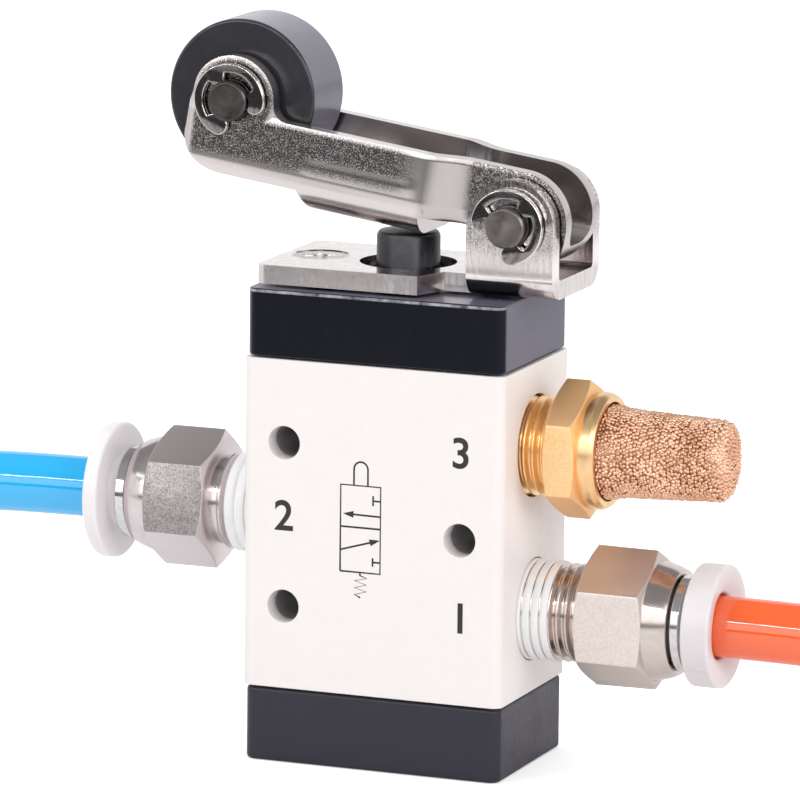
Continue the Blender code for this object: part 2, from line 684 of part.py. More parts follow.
def make_roller(frame):
    axle = pivot_empty("roller_axis", (-ROLLER_REACH, 0, ROLLER_RISE), parent=frame)
    half = ROLLER_HALF_WIDTH
    rim = [(ROLLER_RADIUS - ROLLER_EDGE, half), (ROLLER_RADIUS, half - ROLLER_EDGE)]
    rim += [(radius, -y) for radius, y in reversed(rim)]
    hole = PIN_RADIUS + GAP
    roller = turned("roller", [(hole, half)] + rim + [(hole, -half)], ROLLER_SIDES, closed=True)
    finish(along_y(roller, 0, 0), material("black_roller", (0.045, 0.046, 0.055), 0.4), axle)
    pin = pin_shape("roller_pin", LEVER_WIDE)
    finish(along_y(pin, 0, 0), material("roller_pin_steel", (0.16, 0.155, 0.16), 0.35, 1.0), axle)
    make_clips("roller_clip", LEVER_WIDE, ROLLER_CLIP_TURN, (0, 0), axle)


def dome_z(radius):
    return DOME_CENTRE_Z + math.sqrt(PLUNGER_DOME ** 2 - radius ** 2)


def make_plunger(frame):
    """The push rod, its origin on the slide's axis; heights are taken from the base as elsewhere."""
    collar_top = BODY_TOP + SEAM - GAP
    shoulder = PLUNGER_RADIUS - PLUNGER_EDGE
    edge = arc((shoulder, dome_z(shoulder) - PLUNGER_EDGE), PLUNGER_EDGE, 78, 0, 3)
    profile = [(0, CROWN_Z)] + [(shoulder * i / 4, dome_z(shoulder * i / 4)) for i in (1, 2, 3)] + edge
    profile += [(PLUNGER_RADIUS, collar_top), (COLLAR_RADIUS, collar_top),
                (COLLAR_RADIUS, collar_top - COLLAR_HEIGHT), (0, collar_top - COLLAR_HEIGHT)]
    finish(turned("plunger", profile), material("dark_plunger", (0.09, 0.09, 0.095), 0.4, 0.3), frame)
    return collar_top - COLLAR_HEIGHT


def make_bush_and_wiper():
    seat_floor = CAP_TOP - BUSH_SEAT_DEPTH
    bush_top = CAP_TOP - RUN / 2 - WIPER_HEIGHT - GAP
    inner = PLUNGER_RADIUS + RUN
    sleeve = ring_profile(inner, BUSH_RADIUS, seat_floor + GAP, bush_top)
    bush = turned("plunger_bush", sleeve, INNER_ROUND, closed=True)
    finish(bush, material("bush_bronze", (0.50, 0.36, 0.20), 0.4, 1.0))
    low = bush_top + GAP
    high = low + WIPER_HEIGHT
    lip = [(inner, high), (BUSH_RADIUS, high - WIPER_HEIGHT / 3), (BUSH_RADIUS, low), (inner + RUN, low)]
    finish(turned("wiper_seal", lip, INNER_ROUND, closed=True), material("wiper_rubber", (0.02, 0.02, 0.02), 0.6))


def seal_levels():
    """Heights of the four seals at rest, from the edges of the chambers that each has to open or close."""
    half_chamber = CHAMBER_HEIGHT / 2
    half_groove = GROOVE_WIDTH / 2
    return (PORT_R_Z + half_chamber + STROKE + half_groove,
            PORT_R_Z - half_chamber + half_groove + RUN,
            PORT_P_Z + half_chamber + SEAL_OVERLAP,
            PORT_P_Z - half_chamber - half_groove - SPOOL_RIM)


def make_spool(frame, plunger_foot):
    top = plunger_foot - GAP
    half_groove = GROOVE_WIDTH / 2
    levels = seal_levels()
    profile = [(0, top), (SPOOL_LAND_RADIUS, top)]
    for index, z in enumerate(levels):
        if index:
            upper = z + half_groove + SPOOL_RIM
            profile += [(SPOOL_WAIST_RADIUS, upper), (SPOOL_LAND_RADIUS, upper)]
        profile += [(SPOOL_LAND_RADIUS, z + half_groove), (SPOOL_GROOVE_RADIUS, z + half_groove),
                    (SPOOL_GROOVE_RADIUS, z - half_groove), (SPOOL_LAND_RADIUS, z - half_groove)]
        lower = z - half_groove - SPOOL_RIM
        profile.append((SPOOL_LAND_RADIUS, lower))
        if index < len(levels) - 1:
            profile.append((SPOOL_WAIST_RADIUS, lower))
    foot = lower
    profile += [(SPIGOT_RADIUS, foot), (SPIGOT_RADIUS, foot - SPIGOT_HEIGHT), (0, foot - SPIGOT_HEIGHT)]
    finish(turned("spool", profile, INNER_ROUND), material("spool_aluminium", (0.70, 0.71, 0.73), 0.3, 1.0), frame)

    for index, z in enumerate(levels):
        circle = [(SEAL_RING + r, z + h) for r, h in arc((0, 0), SEAL_WIRE, 360, 0, SEAL_SIDES)[:-1]]
        seal = turned(f"spool_seal_{index + 1}", circle, INNER_ROUND, closed=True)
        finish(seal, material(f"seal_rubber_{index + 1}", (0.02, 0.02, 0.022), 0.55), frame)
    return foot


def make_return_spring(spool_foot):
    low = POCKET_FLOOR + GAP + SPRING_WIRE
    high = spool_foot - GAP - SPRING_WIRE
    count = round(SPRING_TURNS * SPRING_SIDES)
    curve = bpy.data.curves.new("return_spring", "CURVE")
    curve.dimensions = "3D"
    curve.bevel_depth = SPRING_WIRE
    curve.bevel_resolution = 1
    curve.use_fill_caps = True
    spline = curve.splines.new("POLY")
    spline.points.add(count)
    for i, point in enumerate(spline.points):
        turn = 2 * math.pi * i / SPRING_SIDES
        z = low + (high - low) * i / count
        point.co = (SPRING_RADIUS * math.cos(turn), SPRING_RADIUS * math.sin(turn), z, 1)
    finish(add_object("return_spring", curve), material("spring_steel", (0.6, 0.6, 0.6), 0.3, 1.0))


def hexagon(name, low, high, turn):
    """Hexagon with both ends chamfered and flats to front and back, then turned by an angle in degrees."""
    corner = HEX_ACROSS_FLATS / 2 / math.cos(math.radians(30))
    shape = bmesh.new()
    bmesh.ops.create_cone(shape, cap_ends=True, segments=6, radius1=corner, radius2=corner, depth=high - low)
    bmesh.ops.rotate(shape, verts=shape.verts, matrix=Matrix.Rotation(math.radians(30 + turn), 3, "Z"))
    bmesh.ops.translate(shape, verts=shape.verts, vec=(0, 0, (low + high) / 2))
    mesh = bpy.data.meshes.new(name)
    shape.to_mesh(mesh)
    shape.free()
    made = add_object(name, mesh)
    limit = corner + OVERCUT
    slope = HEX_CHAMFER / (corner - HEX_CHAMFER_RADIUS)
    drop = slope * (limit - HEX_CHAMFER_RADIUS)
    cone = turned(name + "_chamfer", [(0, high), (HEX_CHAMFER_RADIUS, high), (limit, high - drop),
                                      (limit, low + drop), (HEX_CHAMFER_RADIUS, low), (0, low)])
    cone.parent = made
    return combine(made, "INTERSECT", cone)


def stud(name, z, side, standoff, hex_length, hex_turn, nose):
    """Threaded stud with neck and hexagon; nose is the profile of what stands outside the hexagon."""
    tip = SIDE - THREAD_GRIP
    hex_low = SIDE + standoff
    hex_high = hex_low + hex_length
    buried = hex_high - HEX_CHAMFER
    profile = nose + [(nose[-1][0], buried), (NECK_RADIUS, buried), (NECK_RADIUS, hex_low - NECK_LENGTH),
                      (THREAD_RADIUS, hex_low - NECK_LENGTH), (THREAD_RADIUS, tip + THREAD_CHAMFER),
                      (THREAD_RADIUS - THREAD_CHAMFER, tip), (0, tip)]
    body = along_x(turned(name, profile), z, side)
    combine(body, "UNION", along_x(hexagon(name + "_hexagon", hex_low, hex_high, -side * hex_turn), z, side))
    return body, tip


def make_fitting(letter, z, side, sizes, tube_colour):
    """Push-in tube fitting: stud, bright ring, release sleeve, gripping claw, seal and the tube."""
    (standoff, hex_length, hex_turn, shoulder, mouth_radius, ring_radius, ring_length,
     flange_radius, flange_thickness, flange_gap) = sizes
    mouth = SIDE + standoff + hex_length + shoulder
    nose = [(0, mouth), (mouth_radius, mouth), (HEX_CHAMFER_RADIUS, mouth - shoulder)]
    body, tip = stud(f"fitting_{letter}_body", z, side, standoff, hex_length, hex_turn, nose)
    socket = TUBE_RADIUS + RUN
    bore_floor = mouth - MOUTH_BORE_DEPTH
    bore = [(0, mouth + OVERCUT), (MOUTH_BORE_RADIUS, mouth + OVERCUT), (MOUTH_BORE_RADIUS, bore_floor),
            (socket, bore_floor), (socket, mouth - SOCKET_DEPTH), (STUD_PASSAGE_RADIUS, mouth - SOCKET_DEPTH),
            (STUD_PASSAGE_RADIUS, tip - OVERCUT), (0, tip - OVERCUT)]
    cut(body, along_x(turned(f"fitting_{letter}_bore", bore, INNER_ROUND), z, side))
    plated = material(f"plated_brass_{letter}", (0.72, 0.66, 0.62), 0.25, 1.0)
    finish(body, plated)

    ring_end = mouth + RUN + ring_length
    ring = turned(f"fitting_{letter}_guide",
                  ring_profile(SLEEVE_RADIUS + RUN, ring_radius, mouth + RUN, ring_end), closed=True)
    finish(along_x(ring, z, side), material(f"bright_ring_{letter}", (0.85, 0.85, 0.87), 0.15, 1.0))

    slide = pivot_empty(f"release_{letter}_axis", (0, 0, z))
    back = ring_end + flange_gap
    front = back + flange_thickness
    sleeve_end = mouth - SLEEVE_DEPTH
    edge = FLANGE_EDGE
    rim = arc((flange_radius - edge, front - edge), edge, 90, 0, 2)
    rim += arc((flange_radius - edge, back + edge), edge, 0, -90, 2)
    dish = (flange_radius - FLANGE_DISH_RIM, front)
    sleeve = [(socket, front - FLANGE_DISH), dish] + rim + [(SLEEVE_RADIUS, back), (SLEEVE_RADIUS, sleeve_end), (socket, sleeve_end)]
    release = turned(f"release_ring_{letter}", sleeve, closed=True)
    release.rotation_euler = (0, math.radians(90 * side), 0)
    finish(release, material(f"release_plastic_{letter}", (0.80, 0.78, 0.79), 0.3), slide)

    travel = flange_gap - RUN
    claw_high = sleeve_end - travel - GAP
    claw_low = claw_high - CLAW_LENGTH
    claw = [(socket, claw_high), (socket + RUN, claw_high), (CLAW_RADIUS, claw_low + GAP),
            (CLAW_RADIUS, claw_low), (CLAW_RADIUS - RUN, claw_low)]
    grip = along_x(turned(f"fitting_{letter}_claw", claw, INNER_ROUND, closed=True), z, side)
    finish(grip, material(f"claw_steel_{letter}", (0.6, 0.6, 0.62), 0.3, 1.0))

    seal_x = claw_low - GAP - FITTING_SEAL_WIRE
    seal_ring = (socket + MOUTH_BORE_RADIUS) / 2
    circle = [(seal_ring + r, seal_x + h) for r, h in arc((0, 0), FITTING_SEAL_WIRE, 360, 0, SEAL_SIDES)[:-1]]
    seal = along_x(turned(f"fitting_{letter}_seal", circle, INNER_ROUND, closed=True), z, side)
    finish(seal, material(f"fitting_rubber_{letter}", (0.02, 0.02, 0.022), 0.55))
    make_tube(letter, z, side, mouth, tube_colour)


def make_tube(letter, z, side, mouth, colour):
    """Short length of 6 mm tube, pushed home; beyond the release ring it droops a little."""
    route = [(mouth - SOCKET_DEPTH + GAP, z)] + [(mouth + out, z - droop) for out, droop in TUBE_ROUTE]
    curve = bpy.data.curves.new(f"tube_{letter}", "CURVE")
    curve.dimensions = "3D"
    curve.bevel_depth = TUBE_RADIUS
    curve.bevel_resolution = 4
    curve.use_fill_caps = True
    spline = curve.splines.new("POLY")
    spline.points.add(len(route) - 1)
    for point, (x, height) in zip(spline.points, route):
        point.co = (side * x, 0, height, 1)
    finish(add_object(f"tube_{letter}", curve), material(f"tube_{letter}_plastic", colour, 0.3))


def make_silencer():
    hex_high = SIDE + SILENCER_STANDOFF + SILENCER_HEX_LENGTH
    collar_end = hex_high + COLLAR_RING_LENGTH
    nose = [(0, collar_end), (COLLAR_RING_RADIUS, collar_end), (COLLAR_RING_RADIUS, hex_high)]
    base, tip = stud("silencer_base", PORT_R_Z, 1, SILENCER_STANDOFF, SILENCER_HEX_LENGTH,
                     SILENCER_HEX_TURN, nose)
    seat = ELEMENT_ROOT_RADIUS + GAP
    floor = collar_end - ELEMENT_SEAT - GAP
    bore = [(0, collar_end + OVERCUT), (seat, collar_end + OVERCUT), (seat, floor),
            (SILENCER_BORE_RADIUS, floor), (SILENCER_BORE_RADIUS, tip - OVERCUT), (0, tip - OVERCUT)]
    cut(base, along_x(turned("silencer_bore", bore, INNER_ROUND), PORT_R_Z))
    finish(base, material("brass", (0.80, 0.58, 0.32), 0.25, 1.0))

    root = floor + GAP
    tip_x = collar_end + ELEMENT_LENGTH
    outer = arc((ELEMENT_TIP_RADIUS - ELEMENT_TIP_ROUND, tip_x - ELEMENT_TIP_ROUND), ELEMENT_TIP_ROUND, 90, 0, 4)
    inner_tip = tip_x - ELEMENT_WALL
    inner_radius = ELEMENT_TIP_RADIUS - ELEMENT_WALL
    profile = [(0, tip_x)] + outer
    profile += [(ELEMENT_START_RADIUS, collar_end + ELEMENT_SEAT), (ELEMENT_ROOT_RADIUS, collar_end),
                (ELEMENT_ROOT_RADIUS, root), (inner_radius, root), (inner_radius, inner_tip), (0, inner_tip)]
    element = turned("silencer_element", profile)
    finish(along_x(element, PORT_R_Z), material("sintered_bronze", (0.66, 0.44, 0.32), 0.55, 0.8))


make_valve_body()
make_top_cap()
make_bottom_cap()
make_screws()
make_bracket()
make_pivot()
LEVER_FRAME = pivot_empty("lever_axis", (PIVOT_X, 0, PIVOT_Z), TILT)
make_lever(LEVER_FRAME)
make_roller(LEVER_FRAME)
PLUNGER_FRAME = pivot_empty("plunger_axis", (0, 0, 0))
FOOT = make_plunger(PLUNGER_FRAME)
make_bush_and_wiper()
make_return_spring(make_spool(PLUNGER_FRAME, FOOT))
make_fitting("a", PORT_A_Z, -1,
             (FITTING_A_STANDOFF, FITTING_A_HEX_LENGTH, FITTING_A_HEX_TURN, FITTING_A_SHOULDER,
              FITTING_A_MOUTH_RADIUS, FITTING_A_RING_RADIUS, FITTING_A_RING_LENGTH, FITTING_A_FLANGE_RADIUS,
              FITTING_A_FLANGE_THICKNESS, FITTING_A_FLANGE_GAP), (0.05, 0.38, 0.92))
make_fitting("p", PORT_P_Z, 1,
             (FITTING_P_STANDOFF, FITTING_P_HEX_LENGTH, FITTING_P_HEX_TURN, FITTING_P_SHOULDER,
              FITTING_P_MOUTH_RADIUS, FITTING_P_RING_RADIUS, FITTING_P_RING_LENGTH, FITTING_P_FLANGE_RADIUS,
              FITTING_P_FLANGE_THICKNESS, FITTING_P_FLANGE_GAP), (1.0, 0.12, 0.05))
make_silencer()
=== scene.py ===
import math
import random

import bpy
from mathutils import Matrix, Vector


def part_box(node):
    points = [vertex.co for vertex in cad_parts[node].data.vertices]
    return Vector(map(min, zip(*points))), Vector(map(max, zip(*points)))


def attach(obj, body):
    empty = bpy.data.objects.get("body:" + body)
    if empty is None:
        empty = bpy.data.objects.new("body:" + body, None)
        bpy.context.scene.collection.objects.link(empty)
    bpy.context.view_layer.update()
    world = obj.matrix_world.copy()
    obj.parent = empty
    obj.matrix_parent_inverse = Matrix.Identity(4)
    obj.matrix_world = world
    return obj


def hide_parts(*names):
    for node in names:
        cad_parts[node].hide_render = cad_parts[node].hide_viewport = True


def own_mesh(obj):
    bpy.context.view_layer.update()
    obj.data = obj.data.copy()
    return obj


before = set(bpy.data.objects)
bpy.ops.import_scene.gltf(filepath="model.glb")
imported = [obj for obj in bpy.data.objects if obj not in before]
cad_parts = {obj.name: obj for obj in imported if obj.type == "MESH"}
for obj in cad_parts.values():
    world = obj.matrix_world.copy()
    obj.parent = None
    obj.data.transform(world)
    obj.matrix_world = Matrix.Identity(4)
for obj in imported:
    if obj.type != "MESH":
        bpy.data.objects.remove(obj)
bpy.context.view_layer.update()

# The viewpoint
# The camera stands a little to the right of the front face and a little above it, far off with a long lens,
# so the block's upright edges stay nearly parallel.
CAMERA_AZIMUTH = math.radians(21.57)
CAMERA_ELEVATION = math.radians(10.77)
CAMERA_ROLL = math.radians(0.603)
CAMERA_DISTANCE = 0.6761
CAMERA_AIM = Vector((0, 0, 0.023))
CAMERA_OFFSET = (-0.00056, 0.0120)
FOCAL_SENSOR_WIDTHS = 8.641

bpy.ops.object.camera_add()
camera = bpy.context.object
camera.name = "camera"
camera.data.sensor_width = 36
camera.data.lens = 36 * FOCAL_SENSOR_WIDTHS
camera.data.clip_start = 0.01
camera.data.clip_end = 20
camera_turn = (Matrix.Rotation(CAMERA_AZIMUTH, 3, "Z") @ Matrix.Rotation(math.pi / 2 - CAMERA_ELEVATION, 3, "X")
               @ Matrix.Rotation(CAMERA_ROLL, 3, "Z"))
camera_place = CAMERA_AIM + camera_turn @ Vector((*CAMERA_OFFSET, CAMERA_DISTANCE))
camera.matrix_world = Matrix.Translation(camera_place) @ camera_turn.to_4x4()
bpy.context.scene.camera = camera
bpy.context.scene.view_settings.view_transform = "Standard"


# The two air tubes
# Short ends of polyurethane tube, 6 mm outside and 4 mm inside, pushed home in the two fittings and cut
# square. Each follows the same points as the solid rod that it replaces.
TUBE_RADIUS = 0.0030
TUBE_WALL = 0.0010
BLUE_ROUTE = [(-0.0171, 0.023746), (-0.0230, 0.023746), (-0.0292, 0.023746), (-0.0353, 0.023726),
              (-0.0414, 0.023626), (-0.0475, 0.023376), (-0.0536, 0.022946)]
RED_ROUTE = [(0.01795, 0.015647), (0.02385, 0.015647), (0.03005, 0.015647), (0.03615, 0.015627),
             (0.04225, 0.015527), (0.04835, 0.015277), (0.05445, 0.014847)]


def deselect():
    if bpy.context.object and bpy.context.object.mode != "OBJECT":
        bpy.ops.object.mode_set(mode="OBJECT")
    bpy.ops.object.select_all(action="DESELECT")


def pick(piece):
    """Makes a piece the only one that the next operator works on."""
    deselect()
    piece.select_set(True)
    bpy.context.view_layer.objects.active = piece
    return piece


def apply_modifier(piece, kind, **settings):
    """Adds one modifier with the given settings and applies it."""
    pick(piece)
    step = piece.modifiers.new(kind.lower(), kind)
    for name, value in settings.items():
        setattr(step, name, value)
    bpy.ops.object.modifier_apply(modifier=step.name)
    return piece


def smooth(piece, degrees=35):
    pick(piece)
    bpy.ops.object.shade_smooth_by_angle(angle=math.radians(degrees))
    return piece


def plain_material(name, colour, roughness, metallic=0.0):
    """A material and its shader, ready for the nodes that give it its texture."""
    made = bpy.data.materials.new(name)
    made.use_nodes = True
    shader = made.node_tree.nodes["Principled BSDF"]
    shader.inputs["Base Color"].default_value = (*colour, 1)
    shader.inputs["Roughness"].default_value = roughness
    shader.inputs["Metallic"].default_value = metallic
    return made, shader


def wear(piece, finish):
    piece.data.materials.clear()
    piece.data.materials.append(finish)


def grain_group():
    """Fine grain: how light or dark, and how high, a spot of the surface is, from two sizes of noise."""
    group = bpy.data.node_groups.new("fine grain", "ShaderNodeTree")
    face = group.interface
    face.new_socket("Vector", in_out="INPUT", socket_type="NodeSocketVector")
    for name, value in (("Scale", 1000), ("Mix", 0.5), ("Low", 0.35), ("High", 0.65)):
        face.new_socket(name, in_out="INPUT", socket_type="NodeSocketFloat").default_value = value
    face.new_socket("Value", in_out="OUTPUT", socket_type="NodeSocketFloat")
    nodes = group.nodes
    given = nodes.new("NodeGroupInput")
    result = nodes.new("NodeGroupOutput")
    fine = nodes.new("ShaderNodeTexNoise")
    fine.inputs["Detail"].default_value = 3
    coarse_scale = nodes.new("ShaderNodeMath")
    coarse_scale.operation = "MULTIPLY"
    coarse_scale.inputs[1].default_value = 0.23
    coarse = nodes.new("ShaderNodeTexNoise")
    coarse.inputs["Detail"].default_value = 2
    blend = nodes.new("ShaderNodeMix")
    spread = nodes.new("ShaderNodeMapRange")
    link = group.links.new
    link(given.outputs["Vector"], fine.inputs["Vector"])
    link(given.outputs["Vector"], coarse.inputs["Vector"])
    link(given.outputs["Scale"], fine.inputs["Scale"])
    link(given.outputs["Scale"], coarse_scale.inputs[0])
    link(coarse_scale.outputs[0], coarse.inputs["Scale"])
    link(given.outputs["Mix"], blend.inputs["Factor"])
    link(fine.outputs["Fac"], blend.inputs["A"])
    link(coarse.outputs["Fac"], blend.inputs["B"])
    link(blend.outputs["Result"], spread.inputs["Value"])
    link(given.outputs["Low"], spread.inputs["From Min"])
    link(given.outputs["High"], spread.inputs["From Max"])
    link(spread.outputs["Result"], result.inputs["Value"])
    return group


FINE_GRAIN = grain_group()


def add_grain(material, scale, mix=0.5, low=0.35, high=0.65, stretch=(1, 1, 1)):
    """Places the grain group in a material, on object coordinates stretched along an axis if wanted."""
    nodes = material.node_tree.nodes
    link = material.node_tree.links.new
    place = nodes.new("ShaderNodeTexCoord")
    mapping = nodes.new("ShaderNodeMapping")
    mapping.inputs["Scale"].default_value = stretch
    grain = nodes.new("ShaderNodeGroup")
    grain.node_tree = FINE_GRAIN
    for name, value in (("Scale", scale), ("Mix", mix), ("Low", low), ("High", high)):
        grain.inputs[name].default_value = value
    link(place.outputs["Object"], mapping.inputs["Vector"])
    link(mapping.outputs["Vector"], grain.inputs["Vector"])
    return grain.outputs["Value"]


def vary(material, shader, socket, value, low, high):
    """Lets a surface value between 0 and 1 set a number on the shader, from low to high."""
    spread = material.node_tree.nodes.new("ShaderNodeMapRange")
    spread.inputs["To Min"].default_value = low
    spread.inputs["To Max"].default_value = high
    material.node_tree.links.new(value, spread.inputs["Value"])
    material.node_tree.links.new(spread.outputs["Result"], shader.inputs[socket])


def tint(material, shader, value, dark, light):
    """Lets a surface value between 0 and 1 blend the base colour from dark to light."""
    blend = material.node_tree.nodes.new("ShaderNodeMix")
    blend.data_type = "RGBA"
    blend.inputs["A"].default_value = (*dark, 1)
    blend.inputs["B"].default_value = (*light, 1)
    material.node_tree.links.new(value, blend.inputs["Factor"])
    material.node_tree.links.new(blend.outputs["Result"], shader.inputs["Base Color"])


def within(material, *limits, place=None):
    """1 where a spot lies past every (axis, start, end) limit of its object coordinates, and 0 elsewhere."""
    nodes = material.node_tree.nodes
    link = material.node_tree.links.new
    apart = nodes.new("ShaderNodeSeparateXYZ")
    link(place or nodes.new("ShaderNodeTexCoord").outputs["Object"], apart.inputs["Vector"])
    inside = None
    for axis, start, end in limits:
        mask = nodes.new("ShaderNodeMapRange")
        mask.interpolation_type = "SMOOTHSTEP"
        mask.inputs["From Min"].default_value = start
        mask.inputs["From Max"].default_value = end
        link(apart.outputs[axis], mask.inputs["Value"])
        inside = mask.outputs["Result"] if inside is None else multiply(material, inside, mask.outputs["Result"])
    return inside


def combine(material, operation, first, second):
    """Works out one clamped value from two masks."""
    worked = material.node_tree.nodes.new("ShaderNodeMath")
    worked.operation = operation
    worked.use_clamp = True
    material.node_tree.links.new(first, worked.inputs[0])
    material.node_tree.links.new(second, worked.inputs[1])
    return worked.outputs[0]


def multiply(material, first, second):
    return combine(material, "MULTIPLY", first, second)


def invert(material, mask):
    """1 where a mask is 0, and 0 where it is 1."""
    turned = material.node_tree.nodes.new("ShaderNodeMath")
    turned.operation = "SUBTRACT"
    turned.inputs[0].default_value = 1.0
    material.node_tree.links.new(mask, turned.inputs[1])
    return turned.outputs[0]


def lay_over(material, shader, mask, colour):
    """Lets a mask lay another colour over the base colour that the shader has so far."""
    blend = material.node_tree.nodes.new("ShaderNodeMix")
    blend.data_type = "RGBA"
    blend.inputs["B"].default_value = (*colour, 1)
    material.node_tree.links.new(shader.inputs["Base Color"].links[0].from_socket, blend.inputs["A"])
    material.node_tree.links.new(mask, blend.inputs["Factor"])
    material.node_tree.links.new(blend.outputs["Result"], shader.inputs["Base Color"])


def roughen(material, shader, value, depth, strength=1.0):
    """Lets a surface value raise the surface by up to depth."""
    bump = material.node_tree.nodes.new("ShaderNodeBump")
    bump.inputs["Distance"].default_value = depth
    bump.inputs["Strength"].default_value = strength
    material.node_tree.links.new(value, bump.inputs["Height"])
    material.node_tree.links.new(bump.outputs["Normal"], shader.inputs["Normal"])


def roll(material, shader, mask, height):
    """Lets a mask raise the surface smoothly by height, beneath the grain and swells that the shader has so far."""
    swell = material.node_tree.nodes.new("ShaderNodeBump")
    swell.inputs["Distance"].default_value = height
    material.node_tree.links.new(mask, swell.inputs["Height"])
    lowest = shader.inputs["Normal"].links[0].from_node
    while lowest.inputs["Normal"].links:
        lowest = lowest.inputs["Normal"].links[0].from_node
    material.node_tree.links.new(swell.outputs["Normal"], lowest.inputs["Normal"])


def make_tube(name, route, dark, light):
    points = [(x, 0, z) for x, z in route]
    bpy.ops.curve.primitive_bezier_curve_add()
    drawn = bpy.context.object
    drawn.data.splines.clear()
    spline = drawn.data.splines.new("BEZIER")
    spline.bezier_points.add(len(points) - 1)
    for point, place in zip(spline.bezier_points, points):
        point.co = place
        point.handle_left_type = point.handle_right_type = "AUTO"
    drawn.data.resolution_u = 5
    drawn.data.bevel_depth = TUBE_RADIUS
    drawn.data.bevel_resolution = 14
    bpy.ops.object.convert(target="MESH")
    tube = bpy.context.object
    tube.name = name
    bpy.ops.object.mode_set(mode="EDIT")
    bpy.ops.mesh.select_all(action="SELECT")
    bpy.ops.mesh.remove_doubles(threshold=0.000001)
    bpy.ops.mesh.normals_make_consistent(inside=False)
    bpy.ops.object.mode_set(mode="OBJECT")
    apply_modifier(tube, "SOLIDIFY", thickness=TUBE_WALL, offset=-1)
    smooth(tube)
    plastic, shader = plain_material(name + "_plastic", light, 0.22)
    shader.inputs["Specular IOR Level"].default_value = 0.0
    shader.inputs["Coat Weight"].default_value = 1.0
    shader.inputs["Coat Roughness"].default_value = 0.01
    shader.inputs["Coat IOR"].default_value = 1.85
    cloud = add_grain(plastic, 260, 0.6, 0.3, 0.7, (0.2, 1, 1))
    tint(plastic, shader, cloud, dark, light)
    vary(plastic, shader, "Roughness", cloud, 0.2, 0.28)
    wear(tube, plastic)
    return tube, points


blue_tube, blue_points = make_tube("blue_tube", BLUE_ROUTE, (0.010, 0.43, 0.87), (0.018, 0.48, 0.92))
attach(blue_tube, "valve")
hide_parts("tube_a")

red_tube, red_points = make_tube("red_tube", RED_ROUTE, (0.90, 0.110, 0.018), (0.95, 0.140, 0.028))
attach(red_tube, "valve")
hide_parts("tube_p")


# The room
# A white floor that runs out of sight, white surroundings and three broad soft lamps. Grey and white cards
# that only reflections see stand about, as a photographer sets them round bright metal.
FLOOR_SIZE = 12
FLOOR_GAP = 0.00005


def make_floor():
    bpy.ops.mesh.primitive_plane_add(size=FLOOR_SIZE, location=(0, 0, -FLOOR_GAP))
    floor = bpy.context.object
    floor.name = "floor"
    paper, shader = plain_material("white_floor_paper", (0.90, 0.90, 0.90), 0.9)
    shader.inputs["Specular IOR Level"].default_value = 0.0
    shader.inputs["Emission Color"].default_value = (1, 1, 1, 1)
    show_when_seen(paper, shader.inputs["Emission Strength"], 0, 0.44, ["Is Camera Ray"])
    wear(floor, paper)


def show_when_seen(material, socket, hidden, seen, rays=("Is Camera Ray", "Is Glossy Ray", "Is Transmission Ray")):
    """Gives a socket one value for the rays that show a thing to the eye, and another for all other light."""
    nodes = material.node_tree.nodes
    link = material.node_tree.links.new
    path = nodes.new("ShaderNodeLightPath")
    shown = path.outputs[rays[0]]
    for ray in rays[1:]:
        shown = combine(material, "MAXIMUM", shown, path.outputs[ray])
    spread = nodes.new("ShaderNodeMapRange")
    spread.inputs["To Min"].default_value = hidden
    spread.inputs["To Max"].default_value = seen
    link(shown, spread.inputs["Value"])
    link(spread.outputs["Result"], socket)


def make_world():
    world = bpy.data.worlds.new("studio")
    bpy.context.scene.world = world
    world.use_nodes = True
    sky = world.node_tree.nodes["Background"]
    sky.inputs["Color"].default_value = (1, 1, 1, 1)
    show_when_seen(world, sky.inputs["Strength"], 0.62, 1.0)


def make_lamp(name, place, size, power):
    bpy.ops.object.light_add(type="AREA", location=place)
    lamp = bpy.context.object
    lamp.name = name
    lamp.data.shape = "RECTANGLE"
    lamp.data.size, lamp.data.size_y = size
    lamp.data.energy = power
    lamp.rotation_euler = (Vector((0, 0, 0.03)) - Vector(place)).to_track_quat("-Z", "Y").to_euler()
    lamp.visible_camera = False


def make_card(name, corners, shade, edge=None):
    """A card that only reflections see, in one shade of grey; edge fades it in between two places along Y."""
    mesh = bpy.data.meshes.new(name)
    mesh.from_pydata(corners, [], [range(len(corners))])
    card = bpy.data.objects.new(name, mesh)
    bpy.context.collection.objects.link(card)
    paper, shader = plain_material(name, (0, 0, 0), 1.0)
    shader.inputs["Specular IOR Level"].default_value = 0.0
    shader.inputs["Emission Color"].default_value = (1, 1, 1, 1)
    shader.inputs["Emission Strength"].default_value = shade
    if edge:
        nodes = paper.node_tree.nodes
        link = paper.node_tree.links.new
        place = nodes.new("ShaderNodeTexCoord")
        apart = nodes.new("ShaderNodeSeparateXYZ")
        fade = nodes.new("ShaderNodeMapRange")
        fade.inputs["From Min"].default_value, fade.inputs["From Max"].default_value = edge
        link(place.outputs["Object"], apart.inputs["Vector"])
        link(apart.outputs["Y"], fade.inputs["Value"])
        link(fade.outputs["Result"], shader.inputs["Alpha"])
    wear(card, paper)
    card.visible_camera = False
    card.visible_diffuse = False
    card.visible_shadow = False
    card.visible_transmission = False


def make_streak(name, left, right, near, far, height):
    """A dark card on the floor along the line that a level reflection from a piece at left..right looks."""
    slope = 0.361 / 0.9135
    corners = [(left + slope * near, near, height), (right + slope * near, near, height),
               (right + slope * far, far, height), (left + slope * far, far, height)]
    make_card(name, corners, 0.10)


